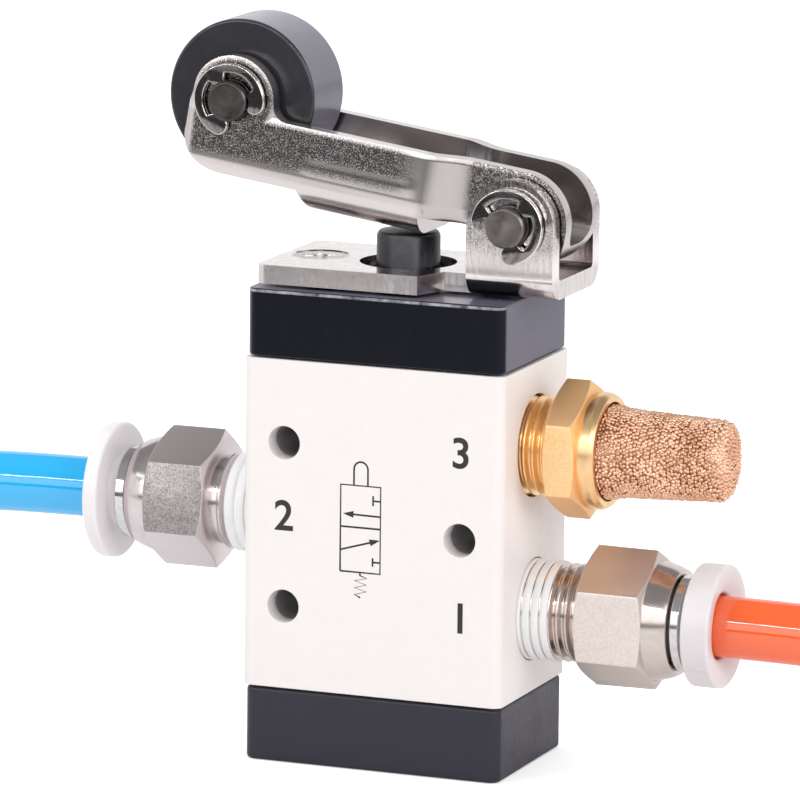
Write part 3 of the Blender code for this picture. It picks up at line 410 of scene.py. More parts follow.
deselect()
make_floor()
make_world()
make_lamp("key", (-0.55, -0.45, 0.80), (0.7, 0.7), 4.2)
make_lamp("fill", (0.70, -0.35, 0.45), (0.6, 0.6), 3.0)
make_lamp("top", (0.0, 0.25, 0.95), (0.8, 0.5), 2.2)
make_card("horizon_card", [(-1.1, -0.92, 0.0), (0.9, -0.92, 0.0), (0.9, -0.92, 0.10), (-1.1, -0.92, 0.10)], 0.16)
make_card("bright_card", [(-1.1, -0.93, 0.12), (0.9, -0.93, 0.12), (0.9, -0.93, 0.48), (-1.1, -0.93, 0.48)], 1.7)
make_card("line_card", [(-1.1, -0.90, 0.585), (0.9, -0.90, 0.585), (0.9, -0.90, 0.607), (-1.1, -0.90, 0.607)], 34.0)
make_card("ceiling_card", [(-1.1, -0.89, 0.6), (0.9, -0.89, 0.6), (0.9, 0.75, 0.6), (-1.1, 0.75, 0.6)], 0.30)
make_card("table_card", [(-0.7, -0.24, 0.0002), (0.9, -0.24, 0.0002), (0.9, -0.92, 0.0002), (-0.7, -0.92, 0.0002)],
          0.10, (-0.262, -0.278))
make_streak("streak_a", -0.0192, -0.0135, -0.090, -0.28, 0.0004)
make_streak("streak_r", 0.0135, 0.0213, -0.140, -0.28, 0.0005)
make_streak("streak_p", 0.0135, 0.0197, -0.066, -0.10, 0.0006)


# The valve block
# A bar of aluminium, painted off-white with a satin finish, bored for the spool and drilled for three ports
# and three fixing screws. It is sawn to length and its edges are only just broken.
BLOCK_LOW, BLOCK_HIGH = (Vector(corner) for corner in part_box("valve_body"))
BLOCK_CORNER = 0.0010
BLOCK_EDGE = 0.00025
PORT_RADIUS = 0.00506
PORT_DEPTH = 0.0075
OUTLET_Z = (BLOCK_LOW.z + BLOCK_HIGH.z) / 2
PORT_PITCH = 0.0081
FIX_HOLE_RADIUS = 0.00165
FIX_HOLE_X = 0.00915


def carve(piece, cutter, operation="DIFFERENCE"):
    """Cuts one piece with another, or joins or trims it, and throws the cutter away."""
    apply_modifier(piece, "BOOLEAN", operation=operation, solver="EXACT", object=cutter)
    bpy.data.objects.remove(cutter)
    return piece


def soften(piece, width, segments=2, degrees=30, evened=False):
    """Rounds the sharp edges of a piece; evened keeps broad flat faces evenly shaded."""
    apply_modifier(piece, "BEVEL", width=width, segments=segments, limit_method="ANGLE",
                   angle_limit=math.radians(degrees), miter_outer="MITER_ARC")
    smooth(piece, 40)
    if evened:
        apply_modifier(piece, "WEIGHTED_NORMAL", keep_sharp=True)
    return piece


def rounded_block(name, low, high, corner, segments=8):
    """A cube set between two corners, with its upright edges rounded."""
    bpy.ops.mesh.primitive_cube_add(size=1, location=(low + high) / 2, scale=high - low)
    block = bpy.context.object
    block.name = name
    bpy.ops.object.transform_apply(location=True, rotation=True, scale=True)
    bpy.ops.object.mode_set(mode="EDIT")
    bpy.ops.mesh.select_mode(type="EDGE")
    bpy.ops.mesh.select_all(action="DESELECT")
    bpy.ops.object.mode_set(mode="OBJECT")
    for line in block.data.edges:
        ends = [block.data.vertices[i].co for i in line.vertices]
        line.select = abs(ends[0].z - ends[1].z) > (high.z - low.z) / 2
    bpy.ops.object.mode_set(mode="EDIT")
    bpy.ops.mesh.bevel(offset=corner, segments=segments, affect="EDGES")
    bpy.ops.object.mode_set(mode="OBJECT")
    return block


def drill(piece, start, end, radius, sides=64):
    """Drills a round hole through a piece, from one point to another."""
    way = end - start
    bpy.ops.mesh.primitive_cylinder_add(vertices=sides, radius=radius, depth=way.length, location=(start + end) / 2,
                                        rotation=way.to_track_quat("Z", "Y").to_euler())
    carve(piece, bpy.context.object)


block = rounded_block("valve_block", BLOCK_LOW, BLOCK_HIGH, BLOCK_CORNER)
front_y, back_y = BLOCK_LOW.y - 0.001, BLOCK_HIGH.y + 0.001
for hole_x, hole_z in ((-FIX_HOLE_X, OUTLET_Z + PORT_PITCH), (-FIX_HOLE_X, OUTLET_Z - PORT_PITCH),
                       (FIX_HOLE_X, OUTLET_Z)):
    drill(block, Vector((hole_x, front_y, hole_z)), Vector((hole_x, back_y, hole_z)), FIX_HOLE_RADIUS)
for side, port_z in ((-1, OUTLET_Z), (1, OUTLET_Z + PORT_PITCH), (1, OUTLET_Z - PORT_PITCH)):
    mouth = side * (BLOCK_HIGH.x + 0.001)
    floor_x = side * (BLOCK_HIGH.x - PORT_DEPTH)
    drill(block, Vector((floor_x, 0, port_z)), Vector((mouth, 0, port_z)), PORT_RADIUS, 96)
soften(block, BLOCK_EDGE, 3, 40, evened=True)

white_paint, shader = plain_material("white_paint", (0.86, 0.815, 0.80), 0.42)
orange_peel = add_grain(white_paint, 900, 0.35, 0.3, 0.7)
tint(white_paint, shader, orange_peel, (0.85, 0.805, 0.79), (0.875, 0.83, 0.815))
vary(white_paint, shader, "Roughness", orange_peel, 0.38, 0.48)
roughen(white_paint, shader, orange_peel, 0.000006, 0.5)
# Past about 2 mm in from the front and back faces, the walls of the holes and ports are coloured grey: partly the
# bare metal beyond the sprayed paint, partly painted shade deep in the bores.
bare_and_shaded_bore = within(white_paint, ("Y", front_y + 0.0028, front_y + 0.0032), ("Y", back_y - 0.0028, back_y - 0.0032),
              ("X", -0.0132, -0.0128), ("X", 0.0132, 0.0128))
lay_over(white_paint, shader, bare_and_shaded_bore, (0.34, 0.33, 0.34))
wear(block, white_paint)
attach(block, "valve")
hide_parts("valve_body")


# The printing on the block's front
# Screen-printed black marks: a plain numeral by each port, and the standard drawing of a three-port valve
# that a plunger pushes and a spring returns.
PRINT_PROUD = 0.000012
PRINT_LINE = 0.00019
NUMERAL_SIZE = 0.0042
SYMBOL_LEFT, SYMBOL_RIGHT = -0.00333, 0.00083
SYMBOL_BOTTOM, SYMBOL_MIDDLE, SYMBOL_TOP = 0.01965, 0.02407, 0.02820
PLUNGER_LEFT, PLUNGER_RIGHT, PLUNGER_TOP = -0.00196, -0.00051, 0.03054


def print_line(points, width=PRINT_LINE):
    """One printed line: a thin round wire through its points on the front face, pressed almost flat."""
    bpy.ops.curve.primitive_bezier_curve_add()
    drawn = bpy.context.object
    drawn.data.splines.clear()
    spline = drawn.data.splines.new("POLY")
    spline.points.add(len(points) - 1)
    for point, (x, z) in zip(spline.points, points):
        point.co = (x, 0, z, 1)
    drawn.data.bevel_depth = width / 2
    drawn.data.bevel_resolution = 2
    drawn.data.use_fill_caps = True
    bpy.ops.object.convert(target="MESH")
    line = bpy.context.object
    line.scale.y = PRINT_PROUD / (width / 2)
    line.location.y = BLOCK_LOW.y
    bpy.ops.object.transform_apply(location=True, rotation=True, scale=True)
    return line


def print_arrow_head(tip, tail, length=0.0011, half_width=0.00034):
    """A filled arrow head at the tip of a line that comes from tail."""
    tip = Vector((tip[0], 0, tip[1]))
    way = (tip - Vector((tail[0], 0, tail[1]))).normalized()
    across = Vector((-way.z, 0, way.x)) * half_width
    bpy.ops.mesh.primitive_cone_add(vertices=3, radius1=1, radius2=0, depth=1)
    head = bpy.context.object
    mesh = head.data
    mesh.clear_geometry()
    face_y = Vector((0, BLOCK_LOW.y - PRINT_PROUD, 0))
    base = tip - way * length
    corners = [tip + face_y, base + across + face_y, base - across + face_y]
    corners += [c + Vector((0, 2 * PRINT_PROUD, 0)) for c in corners]
    mesh.from_pydata(corners, [], [(0, 2, 1), (3, 4, 5), (0, 1, 4, 3), (1, 2, 5, 4), (2, 0, 3, 5)])
    head.matrix_world = Matrix()
    return head


def print_numeral(text, x, z):
    bpy.ops.object.text_add()
    drawn = bpy.context.object
    drawn.data.body = text
    drawn.data.size = NUMERAL_SIZE
    drawn.data.align_x = "CENTER"
    drawn.data.align_y = "CENTER"
    drawn.data.extrude = PRINT_PROUD
    drawn.data.offset = 0.00006
    bpy.ops.object.convert(target="MESH")
    numeral = bpy.context.object
    numeral.rotation_euler = (math.radians(90), 0, 0)
    numeral.location = (x, BLOCK_LOW.y, z)
    bpy.ops.object.transform_apply(location=True, rotation=True, scale=True)
    return numeral


def join(name, pieces):
    deselect()
    for piece in pieces:
        piece.select_set(True)
    bpy.context.view_layer.objects.active = pieces[0]
    bpy.ops.object.join()
    joined = bpy.context.object
    joined.name = name
    joined.data.name = name
    return joined


def half_circle(x, z, radius, steps=12):
    turns = [math.pi * i / steps for i in range(steps + 1)]
    return [(x - radius * math.cos(t), z + radius * math.sin(t)) for t in turns]


plunger_half = (PLUNGER_RIGHT - PLUNGER_LEFT) / 2
plunger_mark = [(PLUNGER_LEFT, SYMBOL_TOP)]
plunger_mark += half_circle(PLUNGER_LEFT + plunger_half, PLUNGER_TOP - plunger_half, plunger_half)
plunger_mark.append((PLUNGER_RIGHT, SYMBOL_TOP))
spring_mark = [(-0.00125, SYMBOL_BOTTOM), (-0.00125, 0.01935), (-0.00055, 0.01910)]
spring_mark += [(-0.00180 if i % 2 == 0 else -0.00060, 0.01880 - 0.00034 * i) for i in range(5)]
spring_mark.append((-0.00120, 0.01715))
symbol_lines = [
    [(SYMBOL_LEFT, SYMBOL_BOTTOM), (SYMBOL_RIGHT, SYMBOL_BOTTOM), (SYMBOL_RIGHT, SYMBOL_TOP),
     (SYMBOL_LEFT, SYMBOL_TOP), (SYMBOL_LEFT, SYMBOL_BOTTOM)],
    [(SYMBOL_LEFT, SYMBOL_MIDDLE), (SYMBOL_RIGHT, SYMBOL_MIDDLE)],
    plunger_mark,
    spring_mark,
    [(0.00077, 0.02529), (-0.00250, 0.02534)],
    [(-0.00326, 0.02178), (0.00025, 0.02282)],
    [(0.00005, 0.02631), (0.00005, 0.02730)],
    [(0.00005, 0.02680), (SYMBOL_RIGHT, 0.02680)],
    [(0.00005, 0.02034), (0.00005, 0.02118)],
    [(0.00005, 0.02076), (SYMBOL_RIGHT, 0.02076)],
]
marks = [print_line(points) for points in symbol_lines]
marks.append(print_arrow_head((-0.00308, 0.02535), (0.00077, 0.02529)))
marks.append(print_arrow_head((0.00080, 0.02298), (-0.00326, 0.02178)))
marks += [print_numeral("2", -0.00926, 0.02443), print_numeral("3", 0.00907, 0.03208),
          print_numeral("1", 0.00918, 0.01588)]
printing = join("printed_marks", marks)
printing.data.transform(Matrix.Translation((0.00015, 0, 0.00007)))
black_ink, shader = plain_material("black_ink", (0.012, 0.012, 0.014), 0.5)
ink_grain = add_grain(black_ink, 2500, 0.5)
tint(black_ink, shader, ink_grain, (0.008, 0.008, 0.01), (0.022, 0.021, 0.024))
vary(black_ink, shader, "Roughness", ink_grain, 0.42, 0.58)
wear(printing, black_ink)
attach(printing, "valve")


# The end caps
# Two black moulded covers that close the block: the glossier upper one holds the plunger's bush, and the
# duller lower one holds the spring. Screws through the lower one are sunk from beneath.
CAP_CORNER = 0.0011
CAP_EDGE = 0.00040
UPPER_LOW, UPPER_HIGH = (Vector(corner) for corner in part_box("top_cap"))
LOWER_LOW, LOWER_HIGH = (Vector(corner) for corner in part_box("bottom_cap"))
SCREW_X = 0.0092
SCREW_SEAT_RADIUS = 0.00292
SCREW_HOLE_RADIUS = 0.0017
BUSH_SEAT_RADIUS = 0.0046
SCREW_SEAT_DEPTH = 0.0018
PAST = 0.001  # how far a cutter stands past what it cuts


def side_mask(material, end):
    """0 on faces seen squarely and 1 on those seen aslant."""
    slant = material.node_tree.nodes.new("ShaderNodeLayerWeight")
    slant.inputs["Blend"].default_value = 0.5
    spread = material.node_tree.nodes.new("ShaderNodeMapRange")
    spread.inputs["From Min"].default_value = 0.35
    spread.inputs["From Max"].default_value = end
    material.node_tree.links.new(slant.outputs["Facing"], spread.inputs["Value"])
    return spread.outputs["Result"]


def moulded(name, square, aslant, roughness, grain_depth, gloss, end=0.64):
    """Black plastic whose faces seen aslant are greyed in the base colour: a painted sheen."""
    finish, shader = plain_material(name, square, roughness)
    shader.inputs["Specular IOR Level"].default_value = gloss
    # Painted sheen: faces seen aslant get the lighter aslant colour, whatever light falls on them.
    tint(finish, shader, side_mask(finish, end), square, aslant)
    fine = add_grain(finish, 1600, 0.45, 0.3, 0.7)
    vary(finish, shader, "Roughness", fine, roughness - 0.06, roughness + 0.08)
    roughen(finish, shader, fine, grain_depth, 0.6)
    return finish, shader


upper_cap = rounded_block("upper_cap", UPPER_LOW, UPPER_HIGH, CAP_CORNER)
for hole_x, hole_radius, sides in ((0, BUSH_SEAT_RADIUS, 96), (-SCREW_X, SCREW_HOLE_RADIUS, 64),
                                   (SCREW_X, SCREW_HOLE_RADIUS, 64)):
    drill(upper_cap, Vector((hole_x, 0, UPPER_LOW.z - PAST)), Vector((hole_x, 0, UPPER_HIGH.z + PAST)),
          hole_radius, sides)
soften(upper_cap, CAP_EDGE, 4, 40, evened=True)
# The glossy cap's second colour is its painted sheen on faces seen aslant.
glossy, shader = moulded("glossy_black", (0.007, 0.008, 0.013), (0.125, 0.120, 0.168), 0.22, 0.000002, 0.12)
# Painted highlight: a thin grained grey line along the upper front edge of the cap.
painted_edge_highlight = within(glossy, ("Z", UPPER_HIGH.z - 0.00042, UPPER_HIGH.z - 0.00032),
             ("Z", UPPER_HIGH.z - 0.00006, UPPER_HIGH.z - 0.00016), ("Y", UPPER_LOW.y + 0.0010, UPPER_LOW.y + 0.0008))
lay_over(glossy, shader, multiply(glossy, painted_edge_highlight, add_grain(glossy, 1500, 0.4, 0.3, 0.6)), (0.42, 0.42, 0.45))
wear(upper_cap, glossy)
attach(upper_cap, "valve")
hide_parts("top_cap")

lower_cap = rounded_block("lower_cap", LOWER_LOW, LOWER_HIGH, CAP_CORNER)
for screw_x in (-SCREW_X, SCREW_X):
    drill(lower_cap, Vector((screw_x, 0, LOWER_LOW.z - PAST)), Vector((screw_x, 0, SCREW_SEAT_DEPTH)),
          SCREW_SEAT_RADIUS)
soften(lower_cap, CAP_EDGE, 4, 40, evened=True)
# The lower cap's second colour is its painted sheen on faces seen aslant.
wear(lower_cap, moulded("charcoal", (0.014, 0.012, 0.026), (0.034, 0.030, 0.048), 0.40, 0.000006, 0.45)[0])
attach(lower_cap, "valve")
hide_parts("bottom_cap")


# The bracket
# One stamping of nickel-plated steel: a flat plate screwed to the upper cap, and two ears bent up from its
# right end that carry the lever's pin.
PLATE_LOW_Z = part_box("lever_bracket")[0][2]
PLATE_THICKNESS = 0.00185
PLATE_TOP_Z = PLATE_LOW_Z + PLATE_THICKNESS
PLATE_LEFT = -0.01285
PLATE_HALF_DEPTH = 0.00785
PLATE_CORNER = 0.0010
NOTCH_X = 0.0040
NOTCH_SLANT = 0.0014
NOTCH_HALF_DEPTH = 0.0042
EAR_OUTSIDE = 0.00653
EAR_RADIUS = 0.00443
EAR_BEND = 0.0005
PLUNGER_HOLE_RADIUS = 0.00475
PIVOT = Vector((0.01288, 0, PLATE_TOP_Z + 0.00531))
PIN_HOLE_RADIUS = 0.0021


def arc(centre, radius, start, end, steps):
    """Points on an arc, by angles in degrees."""
    turns = [math.radians(start + (end - start) * i / steps) for i in range(steps + 1)]
    return [(centre[0] + radius * math.cos(t), centre[1] + radius * math.sin(t)) for t in turns]


def flat_piece(name, outline, thickness, plane="XY", place=(0, 0, 0), edge=0.0):
    """A sheet cut to an outline that is drawn in the XY, XZ or YZ plane, its rims rounded by edge."""
    bpy.ops.curve.primitive_bezier_curve_add()
    drawn = bpy.context.object
    drawn.data.splines.clear()
    drawn.data.dimensions = "2D"
    drawn.data.fill_mode = "BOTH"
    drawn.data.extrude = thickness / 2 - edge
    drawn.data.bevel_depth = edge
    drawn.data.bevel_resolution = 3
    drawn.data.offset = -edge
    spline = drawn.data.splines.new("POLY")
    spline.points.add(len(outline) - 1)
    for point, (x, y) in zip(spline.points, outline):
        point.co = (x, y, 0, 1)
    spline.use_cyclic_u = True
    bpy.ops.object.convert(target="MESH")
    sheet = bpy.context.object
    sheet.name = name
    bpy.ops.object.mode_set(mode="EDIT")
    bpy.ops.mesh.select_all(action="SELECT")
    bpy.ops.mesh.remove_doubles(threshold=0.000001)
    bpy.ops.mesh.normals_make_consistent(inside=False)
    bpy.ops.object.mode_set(mode="OBJECT")
    turns = {"XY": (0, 0, 0), "XZ": (90, 0, 0), "YZ": (90, 0, 90)}
    sheet.rotation_euler = [math.radians(a) for a in turns[plane]]
    sheet.location = place
    bpy.ops.object.transform_apply(location=True, rotation=True, scale=True)
    return sheet


def channel_outline(half_width, top, bottom, thickness, inner_radius):
    """Cross-section of a sheet bent up at both sides."""
    outer_radius = inner_radius + thickness
    centre = (half_width - outer_radius, bottom + outer_radius)
    right = arc(centre, outer_radius, -90, 0, 12) + [(half_width, top), (half_width - thickness, top)]
    right += arc(centre, inner_radius, 0, -90, 8)
    return right + [(-y, z) for y, z in reversed(right)]


def make_bracket():
    ear_left = PIVOT.x - EAR_RADIUS
    ear_right = PIVOT.x + EAR_RADIUS
    inside_ear = ear_left + EAR_BEND + PLATE_THICKNESS
    corner = (PLATE_LEFT + PLATE_CORNER, PLATE_HALF_DEPTH - PLATE_CORNER)
    side = [(inside_ear, NOTCH_HALF_DEPTH), (NOTCH_X + NOTCH_SLANT, NOTCH_HALF_DEPTH), (NOTCH_X, PLATE_HALF_DEPTH)]
    side += arc(corner, PLATE_CORNER, 90, 180, 8)
    outline = side + [(x, -y) for x, y in reversed(side)]
    bracket = flat_piece("bracket", outline, PLATE_THICKNESS, "XY", (0, 0, (PLATE_LOW_Z + PLATE_TOP_Z) / 2))
    ear_top = PIVOT.z + EAR_RADIUS + 0.001
    section = channel_outline(EAR_OUTSIDE, ear_top, PLATE_LOW_Z, PLATE_THICKNESS, EAR_BEND)
    ears = flat_piece("ears", section, 2 * EAR_RADIUS, "YZ", (PIVOT.x, 0, 0))
    side_view = arc((PIVOT.x, PIVOT.z), EAR_RADIUS, 0, 180, 40)
    side_view += [(ear_left, PLATE_LOW_Z - 0.001), (ear_right, PLATE_LOW_Z - 0.001)]
    carve(ears, flat_piece("ear_trim", side_view, 4 * EAR_OUTSIDE, "XZ"), "INTERSECT")
    carve(bracket, ears, "UNION")
    low = Vector((0, 0, PLATE_LOW_Z - PAST))
    drill(bracket, low, Vector((0, 0, PLATE_TOP_Z + PAST)), PLUNGER_HOLE_RADIUS, 96)
    drill(bracket, Vector((PIVOT.x, -0.01, PIVOT.z)), Vector((PIVOT.x, 0.01, PIVOT.z)), PIN_HOLE_RADIUS)
    for screw_x in (-SCREW_X, SCREW_X):
        bpy.ops.mesh.primitive_cone_add(vertices=64, radius1=0.0014, radius2=0.0045, depth=0.0031,
                                        location=(screw_x, 0, PLATE_TOP_Z))
        carve(bracket, bpy.context.object)
        drill(bracket, low + Vector((screw_x, 0, 0)), Vector((screw_x, 0, PLATE_TOP_Z)), SCREW_HOLE_RADIUS)
    return soften(bracket, 0.00024, 4, 40, evened=True)


def plated(name, dark, light, grain, roughness, depth, low=0.35, high=0.65, stretch=(1, 1, 1)):
    """Nickel plating over a surface whose grain shows through as small dark and bright flecks."""
    finish, shader = plain_material(name, light, roughness[0], 1.0)
    fleck = add_grain(finish, grain, 0.35, low, high, stretch)
    tint(finish, shader, fleck, dark, light)
    vary(finish, shader, "Roughness", fleck, roughness[1], roughness[0])
    roughen(finish, shader, fleck, depth, 0.7)
    return finish


bracket = make_bracket()
bracket_plating = plated("plated_bracket", (0.58, 0.53, 0.525), (0.80, 0.75, 0.745), 2600, (0.12, 0.20), 0.000004,
                         0.3, 0.6, (1, 1, 0.2))
shader = bracket_plating.node_tree.nodes["Principled BSDF"]
sheared = within(bracket_plating, ("Y", -0.0071, -0.0076))
sheared_grain = multiply(bracket_plating, sheared, add_grain(bracket_plating, 1800, 0.3, 0.25, 0.55))
lay_over(bracket_plating, shader, sheared_grain, (0.62, 0.575, 0.575))
roll(bracket_plating, shader, within(bracket_plating, ("Z", PLATE_TOP_Z + 0.0008, PIVOT.z + 0.0008)), 0.00022)
# Painted highlight: the ears, from just above the bend up, get a whiter base colour than the plate.
lay_over(bracket_plating, shader, within(bracket_plating, ("Z", 0.0486, 0.0496)), (0.96, 0.90, 0.89))
ear_grain = multiply(bracket_plating, within(bracket_plating, ("Z", 0.0503, 0.0530)),
                     add_grain(bracket_plating, 5200, 0.2, 0.66, 0.36))
lay_over(bracket_plating, shader, ear_grain, (0.26, 0.24, 0.24))
wear(bracket, bracket_plating)
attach(bracket, "valve")
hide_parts("lever_bracket")


# The pins, and the clips that keep them
# Turned steel pins through the ears and through the lever's nose, each kept by a bright spring clip in a
# groove at both ends. Faint rings from the lathe show on their end faces.
PIN_RADIUS = 0.0020
GROOVE_RADIUS = 0.0016
PIN_CHAMFER = 0.0002
CLIP_GAP = 0.0003
CLIP_THICKNESS = 0.0007
ROLLER_CENTRE = Vector((-0.016087, 0, PIVOT.z + 0.010311))
LEVER_OUTSIDE = 0.0061


def lathe(name, outline, axis="Z", centre=(0, 0, 0), side=1, steps=96):
    """Spins an outline of (radius, distance) points once round an axis and returns the closed piece."""
    directions = {"X": (Vector((1, 0, 0)), Vector((0, 0, 1))), "Y": (Vector((0, 1, 0)), Vector((0, 0, 1))),
                  "Z": (Vector((0, 0, 1)), Vector((1, 0, 0)))}
    along, outwards = directions[axis]
    places = [Vector(centre) + along * (side * distance) + outwards * radius for radius, distance in outline]
    deselect()
    bpy.ops.mesh.primitive_plane_add(size=0.001)
    bpy.ops.object.mode_set(mode="EDIT")
    bpy.ops.mesh.select_mode(type="VERT")
    bpy.ops.mesh.select_all(action="SELECT")
    bpy.ops.mesh.merge(type="CENTER")
    bpy.ops.transform.translate(value=places[0])
    for before, after in zip(places, places[1:]):
        bpy.ops.mesh.extrude_vertices_move(TRANSFORM_OT_translate={"value": after - before})
    bpy.ops.mesh.select_all(action="SELECT")
    bpy.ops.mesh.spin(steps=steps, angle=2 * math.pi, center=centre, axis=along)
    bpy.ops.mesh.select_all(action="SELECT")
    bpy.ops.mesh.remove_doubles(threshold=0.000001)
    bpy.ops.mesh.normals_make_consistent(inside=False)
    bpy.ops.object.mode_set(mode="OBJECT")
    piece = bpy.context.object
    piece.name = name
    piece.data.name = name
    return smooth(piece)


def pin_outline(wall):
    """Half of a pin, from its middle out: the groove for the clip and the broken edge at its end."""
    low = wall + CLIP_GAP / 2
    high = low + CLIP_THICKNESS + CLIP_GAP
    end = wall + 0.00155
    half = [(PIN_RADIUS, low), (GROOVE_RADIUS, low), (GROOVE_RADIUS, high), (PIN_RADIUS, high),
            (PIN_RADIUS, end - PIN_CHAMFER), (PIN_RADIUS - PIN_CHAMFER, end), (0, end)]
    return [(r, -y) for r, y in reversed(half)] + half


def clip_outline(opening):
    """A spring clip with three prongs that grip the groove and round ends, open towards the given angle."""
    inner = GROOVE_RADIUS + 0.0001
    outer = 0.00365
    window = 0.00272
    prong = 22
    lobe = (outer - inner) / 2
    lobe_path = inner + lobe
    lobe_turn = math.degrees(lobe / lobe_path)
    start = opening + 34 + lobe_turn
    end = opening + 326 - lobe_turn
    outline = arc((0, 0), outer, start, end, 60)
    outline += arc(arc((0, 0), lobe_path, end, end, 1)[0], lobe, end, end + 180, 14)
    centres = [end - prong / 2, (start + end) / 2, start + prong / 2]
    for centre, following in zip(centres, centres[1:] + [None]):
        outline += arc((0, 0), inner, centre + prong / 2, centre - prong / 2, 6)
        if following is not None:
            outline += arc((0, 0), window, centre - 0.9 * prong, following + 0.9 * prong, 16)
    return outline + arc(arc((0, 0), lobe_path, start, start, 1)[0], lobe, start + 180, start + 360, 14)


def turned_steel(name, centre, dark, light, squash, ring_scale=1500, depth=0.000004):
    """Steel with faint rings from the lathe; squash is the axis that they don't change along."""
    finish, shader = plain_material(name, light, 0.3, 1.0)
    nodes = finish.node_tree.nodes
    link = finish.node_tree.links.new
    place = nodes.new("ShaderNodeTexCoord")
    mapping = nodes.new("ShaderNodeMapping")
    mapping.vector_type = "TEXTURE"
    mapping.inputs["Location"].default_value = centre
    flat = nodes.new("ShaderNodeVectorMath")
    flat.operation = "MULTIPLY"
    flat.inputs[1].default_value = squash
    rings = nodes.new("ShaderNodeTexWave")
    rings.wave_type = "RINGS"
    rings.rings_direction = "SPHERICAL"
    rings.inputs["Scale"].default_value = ring_scale
    rings.inputs["Distortion"].default_value = 4
    rings.inputs["Detail"].default_value = 3
    link(place.outputs["Object"], mapping.inputs["Vector"])
    link(mapping.outputs["Vector"], flat.inputs[0])
    link(flat.outputs["Vector"], rings.inputs["Vector"])
    blotch = add_grain(finish, 1300, 0.6, 0.3, 0.7)
    tint(finish, shader, blotch, dark, light)
    vary(finish, shader, "Roughness", blotch, 0.22, 0.4)
    roughen(finish, shader, rings.outputs["Fac"], depth, 0.4)
    return finish


def make_pin(name, wall, centre, body, node, shade):
    pin = soften(lathe(name, pin_outline(wall), "Y", centre, steps=72), 0.00005, 2, 30, evened=True)
    dark, light = [0.44 * c for c in shade], shade
    wear(pin, turned_steel(name + "_steel", centre, dark, light, (1, 0, 1), 1300, 0.000008))
    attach(pin, body)
    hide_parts(node)


def make_clips(name, wall, centre, opening, body):
    for end, side in (("front", -1), ("back", 1)):
        y = side * (wall + CLIP_GAP + CLIP_THICKNESS / 2)
        clip = flat_piece(f"{name}_{end}_spring", clip_outline(opening), CLIP_THICKNESS, "XZ",
                          (centre.x, y, centre.z), 0.00014)
        smooth(clip, 40)
        apply_modifier(clip, "WEIGHTED_NORMAL", keep_sharp=True)
        finish, shader = plain_material(f"{name}_{end}_nickel", (0.80, 0.75, 0.745), 0.08, 1.0)
        fleck = add_grain(finish, 5200, 0.2, 0.42, 0.64)
        tint(finish, shader, fleck, (0.72, 0.67, 0.665), (0.86, 0.81, 0.80))
        # Painted shade: the clip's broad flat faces are coloured dark grey, so that only its rounded rims stay
        # bright.
        facing = finish.node_tree.nodes.new("ShaderNodeTexCoord").outputs["Normal"]
        lay_over(finish, shader, within(finish, ("Y", side * 0.90, side * 0.99), place=facing), (0.26, 0.24, 0.24))
        vary(finish, shader, "Roughness", fleck, 0.07, 0.14)
        roughen(finish, shader, fleck, 0.000002, 0.7)
        wear(clip, finish)
        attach(clip, body)
        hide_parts(f"{name}_{end}")


make_pin("pivot_pin_turned", EAR_OUTSIDE, PIVOT, "valve", "pivot_pin", (0.25, 0.22, 0.22))
# The roller pin is the same steel as the pivot pin at half its brightness: painted shade.
make_pin("roller_pin_turned", LEVER_OUTSIDE, ROLLER_CENTRE, "lever", "roller_pin", (0.125, 0.11, 0.11))
make_clips("pivot_clip", EAR_OUTSIDE, PIVOT, 225, "valve")
make_clips("roller_clip", LEVER_OUTSIDE, ROLLER_CENTRE, 300, "lever")


# The lever
# A channel pressed from one sheet of steel and nickel-plated over its rolled grain. It is drawn lying along
# X with the pivot at the origin, pressed, trimmed and pierced, and then tilted to its rest angle.
REST_TILT = math.radians(8)
SHEET = 0.0015
WIDE = 0.0061
NARROW = 0.0044
CHANNEL_BEND = 0.0035
WEB_DROP = 0.0033
SKIRT_DROP = 0.0013
CREST = 0.0050
PAD_FRONT, PAD_BACK, PAD_SLANT = 0.0214, 0.0097, 0.0011
TAIL_WEB_START = 0.0040
JOGGLE_START, JOGGLE_END = 0.0095, 0.0051
NOSE_RADIUS, NOSE_BLEND, NOSE_WRAP, NOSE_CHIN = 0.0043, 0.0016, 0.0020, 0.0048
ROLLER_REACH, ROLLER_RISE = 0.03012, 0.00618
NOSE_END = ROLLER_REACH + 0.00518


def lever_half_width(x):
    """Half of the channel's outside width: wrapped round at the nose, and narrower between the ears."""
    wrap = x - (NOSE_WRAP - NOSE_END)
    if wrap < 0:
        return WIDE - NOSE_WRAP + math.sqrt(max(NOSE_WRAP ** 2 - wrap ** 2, 0))
    share = min(max((x + JOGGLE_START) / (JOGGLE_START - JOGGLE_END), 0), 1)
    return WIDE - (WIDE - NARROW) * (1 - math.cos(math.pi * share)) / 2


def lever_section(half_width, top):
    bend = arc((CHANNEL_BEND - half_width, CHANNEL_BEND - WEB_DROP), CHANNEL_BEND, 180, 270, 14)
    left = [(-half_width, top), (-half_width, (top - WEB_DROP + CHANNEL_BEND) / 2)] + bend
    return left + [(-y, z) for y, z in reversed(left)]


